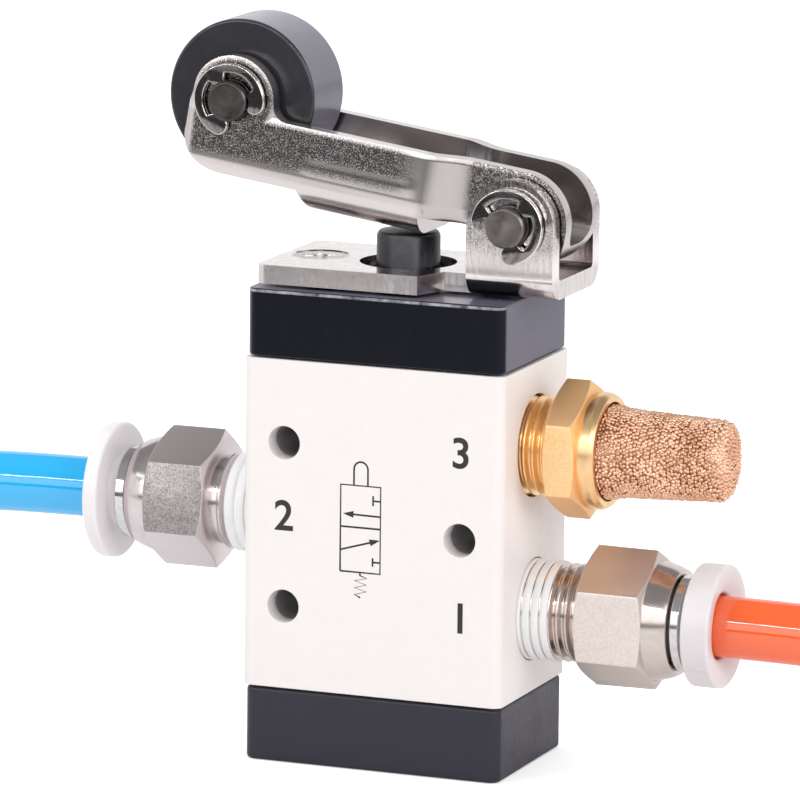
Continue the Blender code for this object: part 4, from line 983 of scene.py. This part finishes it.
def pressed_channel():
    """The sheet's outer surface, section by section, and then its thickness inwards."""
    top = ROLLER_RISE + NOSE_RADIUS + 0.001
    wrap = [NOSE_WRAP - NOSE_END - NOSE_WRAP * math.cos(math.radians(a)) for a in range(0, 91, 9)]
    joggle = [-JOGGLE_START + (JOGGLE_START - JOGGLE_END) * i / 16 for i in range(17)]
    stations = wrap + joggle + [CREST + 0.001]
    sections = [lever_section(lever_half_width(x), top) for x in stations]
    across = len(sections[0])
    corners = [(x, y, z) for x, section in zip(stations, sections) for y, z in section]
    faces = []
    for row in range(len(stations) - 1):
        for place in range(across - 1):
            first = row * across + place
            faces.append((first, first + 1, first + 1 + across, first + across))
    mesh = bpy.data.meshes.new("pressed_lever")
    mesh.from_pydata(corners, [], faces)
    channel = bpy.data.objects.new("pressed_lever", mesh)
    bpy.context.collection.objects.link(channel)
    return apply_modifier(channel, "SOLIDIFY", thickness=SHEET, offset=-1, use_even_offset=True)


def lever_side_view():
    """Outline of the trimmed channel: tail, crest, nose, chin, skirt and the step down to the pad."""
    low = -WEB_DROP - 0.001
    pin = (-ROLLER_REACH, ROLLER_RISE)
    slope = PAD_SLANT / (WEB_DROP - SKIRT_DROP)
    blend_z = CREST + NOSE_BLEND
    span = NOSE_RADIUS + NOSE_BLEND
    blend_x = pin[0] + math.sqrt(span ** 2 - (blend_z - pin[1]) ** 2)
    meeting = math.degrees(math.atan2(blend_z - pin[1], blend_x - pin[0]))
    outline = arc((0, 0), CREST, -60, 90, 40)
    outline += arc((blend_x, blend_z), NOSE_BLEND, 270, 180 + meeting, 10)
    outline += arc(pin, NOSE_RADIUS, meeting, 180, 40)
    outline += arc((NOSE_CHIN - NOSE_END, NOSE_CHIN - SKIRT_DROP), NOSE_CHIN, 180, 270, 16)
    outline += [(-PAD_FRONT - PAD_SLANT, -SKIRT_DROP), (-PAD_FRONT + slope * 0.001, low)]
    return outline


def make_lever():
    lever = pressed_channel()
    carve(lever, flat_piece("lever_trim", lever_side_view(), 4 * WIDE, "XZ"), "INTERSECT")
    for low, high in (((-PAD_BACK, -2 * WIDE, -0.006), (-TAIL_WEB_START, 2 * WIDE, -SKIRT_DROP)),
                      ((-NOSE_END - 0.001, -0.0044, -0.02), (-ROLLER_REACH + 0.001, 0.0044, 0.02))):
        low, high = Vector(low), Vector(high)
        bpy.ops.mesh.primitive_cube_add(size=1, location=(low + high) / 2, scale=high - low)
        carve(lever, bpy.context.object)
    for x, z in ((0, 0), (-ROLLER_REACH, ROLLER_RISE)):
        drill(lever, Vector((x, -0.01, z)), Vector((x, 0.01, z)), PIN_HOLE_RADIUS)
    soften(lever, 0.00038, 4, 45, evened=True)
    lever.data.transform(Matrix.Translation(PIVOT) @ Matrix.Rotation(REST_TILT, 4, "Y"))
    return lever


def grained_steel():
    """Bright nickel, smooth where the sheet was stretched round its bends and grained on its flat walls."""
    finish, shader = plain_material("plated_lever", (0.86, 0.81, 0.80), 0.2, 1.0)
    nodes = finish.node_tree.nodes
    link = finish.node_tree.links.new
    place = nodes.new("ShaderNodeTexCoord")
    untilt = nodes.new("ShaderNodeMapping")
    untilt.vector_type = "TEXTURE"
    untilt.inputs["Location"].default_value = PIVOT
    untilt.inputs["Rotation"].default_value = (0, REST_TILT, 0)
    link(place.outputs["Object"], untilt.inputs["Vector"])
    outward = nodes.new("ShaderNodeVectorMath")
    outward.operation = "MULTIPLY"
    link(place.outputs["Object"], outward.inputs[0])
    link(place.outputs["Normal"], outward.inputs[1])
    outer_wall = within(finish, ("Y", 0.0054, 0.0060), place=outward.outputs["Vector"])
    unbent = within(finish, ("Z", 0.0001, 0.0012), ("X", -0.0098, -0.0130), ("X", -0.0350, -0.0333),
                    place=untilt.outputs["Vector"])
    tail_wall = within(finish, ("Y", 0.0038, 0.0043), place=outward.outputs["Vector"])
    beside_ear = within(finish, ("X", -0.0062, -0.0050), place=untilt.outputs["Vector"])
    grained = combine(finish, "ADD", multiply(finish, outer_wall, unbent), multiply(finish, tail_wall, beside_ear))
    level = nodes.new("ShaderNodeMix")
    level.inputs["A"].default_value = 1.0
    link(grained, level.inputs["Factor"])
    link(add_grain(finish, 6400, 0.2, 0.49, 0.64), level.inputs["B"])
    fleck = level.outputs["Result"]
    tint(finish, shader, fleck, (0.13, 0.12, 0.12), (0.70, 0.65, 0.645))
    # Painted reflection: a dark stripe laid on the outer wall just above the pad.
    painted_dark_stripe = within(finish, ("Z", 0.0023, 0.0019), ("Z", 0.0010, 0.0014), ("X", -0.0224, -0.0212),
                       ("X", -0.0108, -0.0124), place=untilt.outputs["Vector"])
    lay_over(finish, shader, multiply(finish, painted_dark_stripe, outer_wall), (0.24, 0.22, 0.22))
    # Painted shade: the upward faces low inside the channel get a darker grey base colour.
    facing = within(finish, ("Z", 0.5, 0.9), place=place.outputs["Normal"])
    shaded_channel_floor = multiply(finish, facing, within(finish, ("Z", 0.0036, 0.0026), place=untilt.outputs["Vector"]))
    lay_over(finish, shader, shaded_channel_floor, (0.44, 0.40, 0.40))
    # Painted shade: the plating from the joggle back, between the ears, is laid over with a darker colour.
    shaded_past_joggle = within(finish, ("X", -0.0102, -0.0092), place=untilt.outputs["Vector"])
    lay_over(finish, shader, multiply(finish, shaded_past_joggle, level.outputs["Result"]), (0.54, 0.50, 0.495))
    vary(finish, shader, "Roughness", fleck, 0.22, 0.2)
    roughen(finish, shader, fleck, 0.000007, 0.8)
    pressed = within(finish, ("Z", 0.0025, 0.0013), ("Z", 0.0003, 0.0013), ("X", -0.0228, -0.0208),
                     ("X", -0.0096, -0.0120), place=untilt.outputs["Vector"])
    roll(finish, shader, pressed, 0.00010)
    from_pin = nodes.new("ShaderNodeVectorMath")
    from_pin.inputs[1].default_value = (-ROLLER_REACH, 0, ROLLER_RISE)
    from_pin.operation = "SUBTRACT"
    link(untilt.outputs["Vector"], from_pin.inputs[0])
    across = nodes.new("ShaderNodeVectorMath")
    across.operation = "MULTIPLY"
    across.inputs[1].default_value = (1, 0, 1)
    link(from_pin.outputs["Vector"], across.inputs[0])
    radius = nodes.new("ShaderNodeVectorMath")
    radius.operation = "LENGTH"
    link(across.outputs["Vector"], radius.inputs[0])
    boss = nodes.new("ShaderNodeMapRange")
    boss.interpolation_type = "SMOOTHSTEP"
    boss.inputs["From Min"].default_value = NOSE_RADIUS + 0.0004
    boss.inputs["From Max"].default_value = NOSE_RADIUS - 0.0006
    link(radius.outputs["Value"], boss.inputs["Value"])
    unrolled = boss.outputs["Result"]
    for mask in (within(finish, ("Z", CREST + 0.0004, CREST - 0.0006), place=untilt.outputs["Vector"]),
                 within(finish, ("Y", -0.0005, -0.0030), place=outward.outputs["Vector"])):
        unrolled = combine(finish, "MAXIMUM", unrolled, mask)
    roll(finish, shader, unrolled, 0.00016)
    # Painted highlight: a near-white band along the rounded top rims of the lever's outer walls, over the crest and
    # round the nose.
    lay_over(finish, shader, multiply(finish, invert(finish, unrolled), outer_wall), (0.95, 0.90, 0.89))
    return finish


lever = make_lever()
wear(lever, grained_steel())
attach(lever, "lever")
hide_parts("lever")


# The roller
# Black nylon, turned from bar, running free on its pin. Its tread and its other faces seen aslant are greyed in the
# base colour: a painted sheen.
ROLLER_RADIUS = 0.00759
ROLLER_HALF_WIDTH = 0.00387

roller = lathe("nylon_roller", [(0.0023, -ROLLER_HALF_WIDTH), (ROLLER_RADIUS, -ROLLER_HALF_WIDTH),
                                (ROLLER_RADIUS, ROLLER_HALF_WIDTH), (0.0023, ROLLER_HALF_WIDTH),
                                (0.0023, -ROLLER_HALF_WIDTH)], "Y", ROLLER_CENTRE, steps=160)
soften(roller, 0.0003, 4, 40)
# The roller's second colour is its painted sheen on faces seen aslant.
wear(roller, moulded("black_nylon", (0.030, 0.029, 0.036), (0.225, 0.220, 0.285), 0.20, 0.000002, 0.5, 0.85)[0])
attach(roller, "roller")
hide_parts("roller")


# The plunger, its bush and its wiper
# A dark steel rod with a domed head that the lever's pad presses. It slides in a bronze bush, and a rubber
# wiper keeps dirt out.
PLUNGER_RADIUS = 0.0031
PLUNGER_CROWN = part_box("plunger")[1][2]
PLUNGER_DOME = 0.0150


def dome_height(radius):
    return PLUNGER_CROWN - PLUNGER_DOME + math.sqrt(PLUNGER_DOME ** 2 - radius ** 2)


plunger_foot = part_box("plunger")[0][2]
plunger_outline = [(0, plunger_foot), (0.0037, plunger_foot), (0.0037, plunger_foot + 0.0011),
                   (PLUNGER_RADIUS, plunger_foot + 0.0011)]
plunger_outline += [(PLUNGER_RADIUS, dome_height(PLUNGER_RADIUS) - 0.00035)]
plunger_outline += [(r, dome_height(r)) for r in (0.0029, 0.0024, 0.0018, 0.0012, 0.0006, 0)]
plunger = soften(lathe("plunger_rod", plunger_outline), 0.00012, 3, 30)
wear(plunger, turned_steel("plunger_steel", (0, 0, 0), (0.04, 0.04, 0.045), (0.07, 0.07, 0.075), (1, 1, 0)))
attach(plunger, "plunger")
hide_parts("plunger")

bush_low, bush_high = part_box("plunger_bush")
bush = lathe("bronze_bush", [(0.0033, bush_low[2]), (0.0043, bush_low[2]), (0.0043, bush_high[2]),
                             (0.0033, bush_high[2]), (0.0033, bush_low[2])], steps=72)
soften(bush, 0.0001)
bronze, shader = plain_material("bush_bronze", (0.55, 0.38, 0.2), 0.35, 1.0)
bronze_fleck = add_grain(bronze, 2500)
tint(bronze, shader, bronze_fleck, (0.35, 0.23, 0.12), (0.62, 0.44, 0.24))
vary(bronze, shader, "Roughness", bronze_fleck, 0.28, 0.45)
wear(bush, bronze)
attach(bush, "valve")
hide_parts("plunger_bush")

wiper_low, wiper_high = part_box("wiper_seal")
wiper = lathe("rubber_wiper", [(0.0035, wiper_low[2]), (0.0043, wiper_low[2]), (0.0043, wiper_high[2] - 0.0003),
                               (0.0033, wiper_high[2]), (0.0035, wiper_low[2])], steps=72)
soften(wiper, 0.0001)


def rubber(name):
    finish, shader = plain_material(name, (0.012, 0.012, 0.013), 0.55)
    dust = add_grain(finish, 2200)
    tint(finish, shader, dust, (0.009, 0.009, 0.01), (0.024, 0.024, 0.025))
    vary(finish, shader, "Roughness", dust, 0.45, 0.7)
    roughen(finish, shader, dust, 0.000008, 0.5)
    return finish


wear(wiper, rubber("wiper_rubber"))
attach(wiper, "valve")
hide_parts("wiper_seal")


# The screws
# Four countersunk steel screws with cross recesses, zinc-plated: two through the bracket, two through the
# lower cap.
SCREW_HEAD_RADIUS = 0.00272
SCREW_HEAD_HEIGHT = 0.0016
SCREW_RADIUS = 0.0015
THREAD_PITCH = 0.0005


def screw_outline(length):
    """Half outline from the flat of the head to the tip, threaded below the head."""
    outline = [(0, 0), (SCREW_HEAD_RADIUS, 0), (SCREW_HEAD_RADIUS, -0.00015), (SCREW_RADIUS, -SCREW_HEAD_HEIGHT)]
    turns = int((length - SCREW_HEAD_HEIGHT - 0.0006) / THREAD_PITCH)
    for i in range(turns):
        z = -SCREW_HEAD_HEIGHT - i * THREAD_PITCH
        outline += [(SCREW_RADIUS - 0.00028, z - THREAD_PITCH / 2), (SCREW_RADIUS, z - THREAD_PITCH)]
    return outline + [(SCREW_RADIUS - 0.0003, -length), (0, -length)]


def make_screw(node, turn):
    low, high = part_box(node)
    upright = node.startswith("bracket")
    length = high[2] - low[2]
    screw = lathe(node + "_steel", screw_outline(length), steps=48)
    for angle in (turn, turn + 90):
        bpy.ops.mesh.primitive_cube_add(size=1, scale=(0.0030, 0.00062, 0.0018),
                                        rotation=(0, 0, math.radians(angle)))
        carve(screw, bpy.context.object)
    bpy.ops.mesh.primitive_cone_add(vertices=4, radius1=0.0001, radius2=0.00115, depth=0.0013,
                                    location=(0, 0, -0.00055), rotation=(0, 0, math.radians(turn)))
    carve(screw, bpy.context.object)
    soften(screw, 0.00006, 2, 40)
    place = Matrix.Translation(((low[0] + high[0]) / 2, 0, high[2] if upright else low[2]))
    screw.data.transform(place if upright else place @ Matrix.Rotation(math.pi, 4, "X"))
    wear(screw, plated(node + "_zinc", (0.45, 0.42, 0.40), (0.84, 0.81, 0.79), 2600, (0.2, 0.38), 0.000008))
    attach(screw, "valve")
    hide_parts(node)


for node, turn in (("bracket_screw_left", 28), ("bracket_screw_right", 61), ("bottom_screw_left", 15),
                   ("bottom_screw_right", 50)):
    make_screw(node, turn)


# The push-in fittings
# Studs turned from hexagon brass and nickel-plated, their taper threads coated with white sealant. Each has
# a bright ring at its mouth, and a pale plastic sleeve that frees the tube when it is pushed in.
PIPE_PITCH = 0.000907
THREAD_CREST = 0.00486
THREAD_ROOT = 0.00430
HEX_ACROSS_FLATS = 0.0120
HEX_FACE_RADIUS = 0.0059
BLOCK_SIDE = BLOCK_HIGH.x


def thread_outline(start, end, crest=THREAD_CREST, root=THREAD_ROOT, pitch=PIPE_PITCH):
    """Points of a thread's outline between two distances along its axis."""
    turns = int((end - start) / pitch)
    pitch = (end - start) / turns
    points = []
    for i in range(turns):
        low = start + i * pitch
        points += [(root, low + 0.12 * pitch), (crest, low + 0.44 * pitch), (crest, low + 0.62 * pitch),
                   (root, low + 0.94 * pitch)]
    return points


def hexagon(name, low, high, turn, z, side, chamfer=0.0004):
    """A hexagon bar with both ends turned to a cone, flats to the front and back, then turned by degrees."""
    corner = HEX_ACROSS_FLATS / 2 / math.cos(math.radians(30))
    bpy.ops.mesh.primitive_cylinder_add(vertices=6, radius=corner, depth=high - low,
                                        location=(0, 0, (low + high) / 2))
    bar = bpy.context.object
    bpy.ops.object.transform_apply(location=True, rotation=True, scale=True)
    bar.data.transform(Matrix.Rotation(math.radians(30 - side * turn), 4, "Z"))
    drop = chamfer / (corner - HEX_FACE_RADIUS) * (corner + 0.001 - HEX_FACE_RADIUS)
    cone = [(0, low), (HEX_FACE_RADIUS, low), (corner + 0.001, low + drop), (corner + 0.001, high - drop),
            (HEX_FACE_RADIUS, high), (0, high)]
    carve(bar, lathe("hexagon_cone", cone, steps=120), "INTERSECT")
    bar.data.transform(Matrix.Translation((0, 0, z)) @ Matrix.Rotation(side * math.pi / 2, 4, "Y"))
    bar.name = name
    return soften(bar, 0.00010, 3, 25)


def front_flat_mask(material, z, turn):
    """1 on the hexagon's flat that faces front, tilted up by turn degrees, and 0 elsewhere."""
    nodes = material.node_tree.nodes
    link = material.node_tree.links.new
    place = nodes.new("ShaderNodeTexCoord")
    upright = nodes.new("ShaderNodeMapping")
    upright.vector_type = "TEXTURE"
    upright.inputs["Location"].default_value = (0, 0, z)
    upright.inputs["Rotation"].default_value = (math.radians(-turn), 0, 0)
    apart = nodes.new("ShaderNodeSeparateXYZ")
    spread = nodes.new("ShaderNodeMapRange")
    spread.inputs["From Min"].default_value = 0.00005 - HEX_ACROSS_FLATS / 2
    spread.inputs["From Max"].default_value = 0.00002 - HEX_ACROSS_FLATS / 2
    link(place.outputs["Object"], upright.inputs["Vector"])
    link(upright.outputs["Vector"], apart.inputs["Vector"])
    link(apart.outputs["Y"], spread.inputs["Value"])
    return spread.outputs["Result"]


def flats_finish(name, plain, dark, light, z, turn, weave, roughness, scale=4200):
    """Plated hexagon flats: a weave of dark and light grain on the front one, and one plain shade on the others;
    where the weave's colours sit darker than the plain one, the front flat carries painted shade.
    """
    finish, shader = plain_material(name, plain, roughness, 1.0)
    on_front = front_flat_mask(finish, z, turn)
    grain = add_grain(finish, scale, 0.2, 0.36, 0.64)
    tint(finish, shader, grain, dark, light)
    lay_over(finish, shader, invert(finish, on_front), plain)
    roughen(finish, shader, multiply(finish, on_front, grain), weave, 0.8)
    return finish


def make_fitting(letter, z, side, standoff, hex_length, hex_turn, shoulder, mouth_radius, looks):
    tip = BLOCK_SIDE - 0.0040
    hex_low = BLOCK_SIDE + standoff
    hex_high = hex_low + hex_length
    mouth = hex_high + shoulder
    outline = [(0.0018, tip), (0.0041, tip)] + thread_outline(tip + 0.0003, hex_low - 0.0008)
    outline += [(0.0044, hex_low - 0.0007), (0.0044, hex_low + 0.001), (HEX_FACE_RADIUS, hex_low + 0.0015),
                (HEX_FACE_RADIUS, hex_high), (mouth_radius + 0.0003, mouth - 0.0006), (mouth_radius, mouth),
                (0.0042, mouth), (0.0042, mouth - 0.0070), (0.0032, mouth - 0.0070), (0.0032, mouth - 0.0112),
                (0.0018, mouth - 0.0112), (0.0018, tip)]
    body = soften(lathe(f"fitting_{letter}_turned", outline, "X", (0, 0, z), side, 120), 0.00008, 2, 30)
    plain, dark, light, weave, roughness, scale = looks
    wear(body, plated(f"turned_brass_{letter}", [0.9 * shade for shade in plain], plain, 1500, (0.14, 0.2), 0.000002))
    bar = hexagon("bar", hex_low, hex_high, hex_turn, z, side)
    wear(bar, flats_finish(f"hexagon_brass_{letter}", plain, dark, light, z, hex_turn, weave, roughness, scale))
    stud = join(f"fitting_{letter}_stud", [body, bar])
    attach(stud, "valve")
    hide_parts(f"fitting_{letter}_body")
    return mouth


# Fitting A's front flat is woven in far darker colours than its other flats: painted shade.
mouth_a = make_fitting("a", OUTLET_Z, -1, 0.0057, 0.00635, 8, 0.00245, 0.0050,
                       ((0.71, 0.645, 0.65), (0.23, 0.21, 0.21), (0.54, 0.495, 0.50), 0.000005, 0.30, 7000))
mouth_p = make_fitting("p", OUTLET_Z - PORT_PITCH, 1, 0.0062, 0.0069, 0, 0.00225, 0.0051,
                       ((0.68, 0.60, 0.565), (0.68, 0.61, 0.57), (0.78, 0.70, 0.655), 0.000003, 0.48, 4200))


def make_sealant(letter, z, side, end, bands, valley):
    """White sealing paste, set in the thread: broad soft bands over the crests with thin grooves between."""
    start = BLOCK_SIDE - 0.0005
    outline = [(0.0043, start)]
    steps = bands * 12
    for i in range(steps + 1):
        x = start + (end - start) * i / steps
        across = 2 * abs((bands * i / steps) % 1 - 0.5)
        outline.append((0.00496 - (0.00496 - valley) * across ** 5, x))
    outline += [(0.0043, end + 0.0001), (0.0043, start)]
    paste = lathe(f"sealant_{letter}", outline, "X", (0, 0, z), side, 120)
    smooth(paste, 60)
    white, shader = plain_material(f"white_sealant_{letter}", (0.86, 0.86, 0.88), 0.42)
    lump = add_grain(white, 500, 0.6, 0.3, 0.7)
    tint(white, shader, lump, (0.80, 0.80, 0.84), (0.92, 0.92, 0.93))
    roughen(white, shader, lump, 0.00005, 0.6)
    wear(paste, white)
    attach(paste, "valve")


make_sealant("a", OUTLET_Z, -1, 0.01735, 4, 0.00472)
make_sealant("p", OUTLET_Z - PORT_PITCH, 1, 0.0167, 4, 0.00462)


def make_ring(letter, z, side, mouth, radius, length):
    """Bright pressed ring at the mouth of the fitting."""
    low = mouth + 0.0002
    high = low + length
    outline = [(0.0040, low), (radius, low), (radius, high), (0.0040, high), (0.0040, low)]
    ring = soften(lathe(f"mouth_ring_{letter}", outline, "X", (0, 0, z), side, 96), 0.00012, 3)
    wear(ring, plated(f"bright_ring_{letter}", (0.62, 0.60, 0.60), (0.76, 0.74, 0.745), 1500, (0.08, 0.16), 0.000003))
    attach(ring, "valve")
    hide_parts(f"fitting_{letter}_guide")
    return high


ring_a = make_ring("a", OUTLET_Z, -1, mouth_a, 0.0046, 0.0010)
ring_p = make_ring("p", OUTLET_Z - PORT_PITCH, 1, mouth_p, 0.00475, 0.0009)


def make_release(letter, z, side, mouth, back, radius, thickness, shade):
    """Pale, slightly see-through sleeve with a rounded flange, dished towards the tube, to push on."""
    front = back + thickness
    outline = [(0.0032, front - 0.0006), (radius - 0.0013, front), (radius, front), (radius, back), (0.0038, back),
               (0.0038, mouth - 0.0030), (0.0032, mouth - 0.0030), (0.0032, front - 0.0006)]
    sleeve = soften(lathe(f"release_sleeve_{letter}", outline, "X", (0, 0, z), side, 120), 0.00042, 5, 40)
    pale, shader = plain_material(f"pale_plastic_{letter}", (0.72, 0.72, 0.73), 0.3)
    shader.inputs["Subsurface Weight"].default_value = 0.4
    shader.inputs["Subsurface Radius"].default_value = (1, 1, 1)
    shader.inputs["Subsurface Scale"].default_value = 0.0006
    milk = add_grain(pale, 500, 0.6, 0.3, 0.7)
    tint(pale, shader, milk, [shade * v for v in (0.96, 0.91, 0.93)], [shade * v for v in (1.03, 0.98, 1.0)])
    vary(pale, shader, "Roughness", milk, 0.26, 0.36)
    wear(sleeve, pale)
    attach(sleeve, f"release_{letter}")
    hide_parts(f"release_ring_{letter}")


# Both sleeves are the same plastic: the last number darkens it, and P's lower number than A's is painted shade.
make_release("a", OUTLET_Z, -1, mouth_a, ring_a + 0.00105, 0.00675, 0.0015, 0.86)
make_release("p", OUTLET_Z - PORT_PITCH, 1, mouth_p, ring_p + 0.0006, 0.0060, 0.00285, 0.74)


# The exhaust silencer
# A brass stud with a hexagon, and a thimble of sintered bronze beads pressed into it that lets the spent
# air out quietly. The beads are real small domes, set close in rows.
SILENCER_Z = OUTLET_Z + PORT_PITCH
SILENCER_HEX_LOW = BLOCK_SIDE + 0.0028
SILENCER_HEX_HIGH = SILENCER_HEX_LOW + 0.0032
COLLAR_END = SILENCER_HEX_HIGH + 0.0018
ELEMENT_END = COLLAR_END + 0.0121
BEAD = 0.00021


def make_silencer_base():
    tip = BLOCK_SIDE - 0.0040
    outline = [(0.0025, tip), (0.0041, tip)] + thread_outline(tip + 0.0003, SILENCER_HEX_LOW - 0.0001)
    outline += [(0.0044, SILENCER_HEX_LOW), (0.0044, SILENCER_HEX_LOW + 0.001), (0.0056, SILENCER_HEX_LOW + 0.0015),
                (0.0056, SILENCER_HEX_HIGH + 0.0002), (0.0057, SILENCER_HEX_HIGH + 0.0005),
                (0.0057, COLLAR_END - 0.0005), (0.0054, COLLAR_END), (0.0048, COLLAR_END),
                (0.0048, COLLAR_END - 0.0012), (0.0025, COLLAR_END - 0.0012), (0.0025, tip)]
    turned = soften(lathe("silencer_turned", outline, "X", (0, 0, SILENCER_Z), 1, 120), 0.00014, 3, 30)
    dark, light = (0.88, 0.57, 0.28), (0.97, 0.67, 0.37)
    wear(turned, plated("turned_yellow_brass", dark, light, 600, (0.27, 0.3), 0.0000001))
    bar = hexagon("silencer_bar", SILENCER_HEX_LOW, SILENCER_HEX_HIGH, -2, SILENCER_Z, 1)
    wear(bar, flats_finish("yellow_brass", (0.95, 0.62, 0.33), dark, light, SILENCER_Z, -2, 0.000003, 0.55))
    base = join("silencer_stud", [turned, bar])
    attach(base, "valve")
    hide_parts("silencer_base")


def element_radius(x):
    """The thimble's radius at a distance along its axis: a gentle taper with a rounded tip."""
    share = (x - COLLAR_END) / (ELEMENT_END - COLLAR_END)
    radius = 0.00433 - 0.00049 * share
    past_root = min(max((x - COLLAR_END - 0.0007) / 0.0008, 0), 1)
    radius += 0.00018 * (1 - past_root ** 2 * (3 - 2 * past_root))
    into_tip = x - (ELEMENT_END - 0.0008)
    if into_tip > 0:
        radius -= 0.0008 - math.sqrt(max(0.0008 ** 2 - into_tip ** 2, 0))
    return radius


def bead_places():
    """Where each bead sits, and which way it faces: loose rings along the side, then a loose spiral on the tip."""
    picker = random.Random(7)
    places = []
    rows = int((ELEMENT_END - 0.0006 - COLLAR_END) / (1.62 * BEAD))
    for row in range(rows + 1):
        x = COLLAR_END + row * 1.62 * BEAD
        count = int(2 * math.pi * element_radius(x) / (1.9 * BEAD))
        for i in range(count):
            turn = 2 * math.pi * (i + 0.5 * (row % 2) + picker.uniform(-0.27, 0.27)) / count
            spot_x = x + picker.uniform(-0.5, 0.5) * BEAD
            forward = 0.35 if spot_x > ELEMENT_END - 0.0008 else 0
            facing = Vector((forward, math.cos(turn), math.sin(turn))).normalized()
            out = Vector((0, math.cos(turn), math.sin(turn)))
            sunk = picker.uniform(0.2, 0.7) * BEAD
            places.append((Vector((spot_x, 0, SILENCER_Z)) + out * (element_radius(spot_x) - sunk), facing))
    tip_radius = element_radius(ELEMENT_END - 0.0008) - 0.2 * BEAD
    spots = int((tip_radius / (1.1 * BEAD)) ** 2)
    for i in range(spots):
        radius = tip_radius * math.sqrt((i + 0.5) / spots) + picker.uniform(-0.2, 0.2) * BEAD
        turn = i * 2.39996 + picker.uniform(-0.3, 0.3) * BEAD / max(radius, BEAD)
        drop = 0.0008 - math.sqrt(max(0.0008 ** 2 - max(radius - tip_radius + 0.0008, 0) ** 2, 0))
        lean = max(radius - tip_radius + 0.0008, 0) / 0.0008
        out = Vector((0, math.cos(turn), math.sin(turn)))
        spot = Vector((ELEMENT_END - drop - picker.uniform(0.3, 0.9) * BEAD, 0, SILENCER_Z)) + out * radius
        places.append((spot, (Vector((1, 0, 0)) + out * lean).normalized()))
    return places, picker


def make_element():
    core_outline = [(0, COLLAR_END - 0.0009), (0.0047, COLLAR_END - 0.0009)]
    steps = 24
    for i in range(steps + 1):
        x = COLLAR_END + (ELEMENT_END - COLLAR_END - 0.0001) * i / steps
        core_outline.append((element_radius(x) - 1.1 * BEAD, x))
    core_outline.append((0, ELEMENT_END - 1.1 * BEAD))
    core = lathe("bead_core", core_outline, "X", (0, 0, SILENCER_Z), 1, 64)
    bpy.ops.mesh.primitive_ico_sphere_add(subdivisions=2, radius=1)
    dome = bpy.context.object
    dome_corners = [v.co.copy() for v in dome.data.vertices]
    kept = [tuple(f.vertices) for f in dome.data.polygons if min(dome_corners[i].z for i in f.vertices) > -0.3]
    bpy.data.objects.remove(dome)
    used = sorted({i for face in kept for i in face})
    renumber = {old: new for new, old in enumerate(used)}
    corners, faces = [], []
    places, picker = bead_places()
    for spot, facing in places:
        turn = facing.to_track_quat("Z", "Y").to_matrix()
        size = BEAD * picker.uniform(0.8, 1.15)
        start = len(corners)
        corners += [spot + turn @ dome_corners[i] * size for i in used]
        faces += [tuple(start + renumber[i] for i in face) for face in kept]
    mesh = bpy.data.meshes.new("beads")
    mesh.from_pydata(corners, [], faces)
    beads = bpy.data.objects.new("beads", mesh)
    bpy.context.collection.objects.link(beads)
    smooth(beads, 80)
    element = join("bronze_beads", [core, beads])
    bronze, shader = plain_material("sintered_bronze", (0.85, 0.54, 0.37), 0.26, 0.75)
    fleck = add_grain(bronze, 1500, 0.5, 0.35, 0.65)
    tint(bronze, shader, fleck, (0.64, 0.34, 0.20), (1.0, 0.68, 0.50))
    vary(bronze, shader, "Roughness", fleck, 0.24, 0.42)
    wear(element, bronze)
    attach(element, "valve")
    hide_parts("silencer_element")


make_silencer_base()
make_element()


# The return spring
# Steel wire wound into an open coil in the lower cap's pocket. It lifts the spool and the plunger.
SPRING_WIRE = 0.00028
SPRING_RADIUS = 0.00235
SPRING_TURNS = 6.5


def make_return_spring():
    low, high = (corner.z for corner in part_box("return_spring"))
    bpy.ops.curve.primitive_bezier_curve_add()
    wire = bpy.context.object
    wire.name = "wound_spring"
    wire.data.splines.clear()
    coil = wire.data.splines.new("POLY")
    count = round(SPRING_TURNS * 24)
    coil.points.add(count)
    for i, point in enumerate(coil.points):
        turn = 2 * math.pi * i / 24
        rise = (low + SPRING_WIRE) + (high - low - 2 * SPRING_WIRE) * i / count
        point.co = (SPRING_RADIUS * math.cos(turn), SPRING_RADIUS * math.sin(turn), rise, 1)
    wire.data.bevel_depth = SPRING_WIRE * 0.98
    wire.data.bevel_resolution = 2
    wire.data.use_fill_caps = True
    bpy.ops.object.convert(target="MESH")
    spring = smooth(bpy.context.object, 50)
    wear(spring, plated("spring_wire", (0.40, 0.40, 0.41), (0.66, 0.66, 0.67), 2600, (0.22, 0.38), 0.000005))
    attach(spring, "valve")
    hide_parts("return_spring")
    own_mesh(spring)


make_return_spring()


# What is hidden inside
# The spool and its rings, and each fitting's claw and ring, keep their shapes from the model and get the
# finish of the real thing.
INNER_FINISHES = {
    "spool": ("spool_turned", (0.55, 0.56, 0.58), (0.80, 0.81, 0.83), 2000, (0.2, 0.35)),
    "fitting_a_claw": ("claw_steel_a", (0.42, 0.42, 0.43), (0.70, 0.70, 0.72), 2600, (0.2, 0.34)),
    "fitting_p_claw": ("claw_steel_p", (0.42, 0.42, 0.43), (0.70, 0.70, 0.72), 2600, (0.2, 0.34)),
}
for node, (name, dark, light, grain, roughness) in INNER_FINISHES.items():
    wear(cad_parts[node], plated(name, dark, light, grain, roughness, 0.000005))
for node in ("spool_seal_1", "spool_seal_2", "spool_seal_3", "spool_seal_4", "fitting_a_seal", "fitting_p_seal"):
    wear(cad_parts[node], rubber(node + "_rubber"))
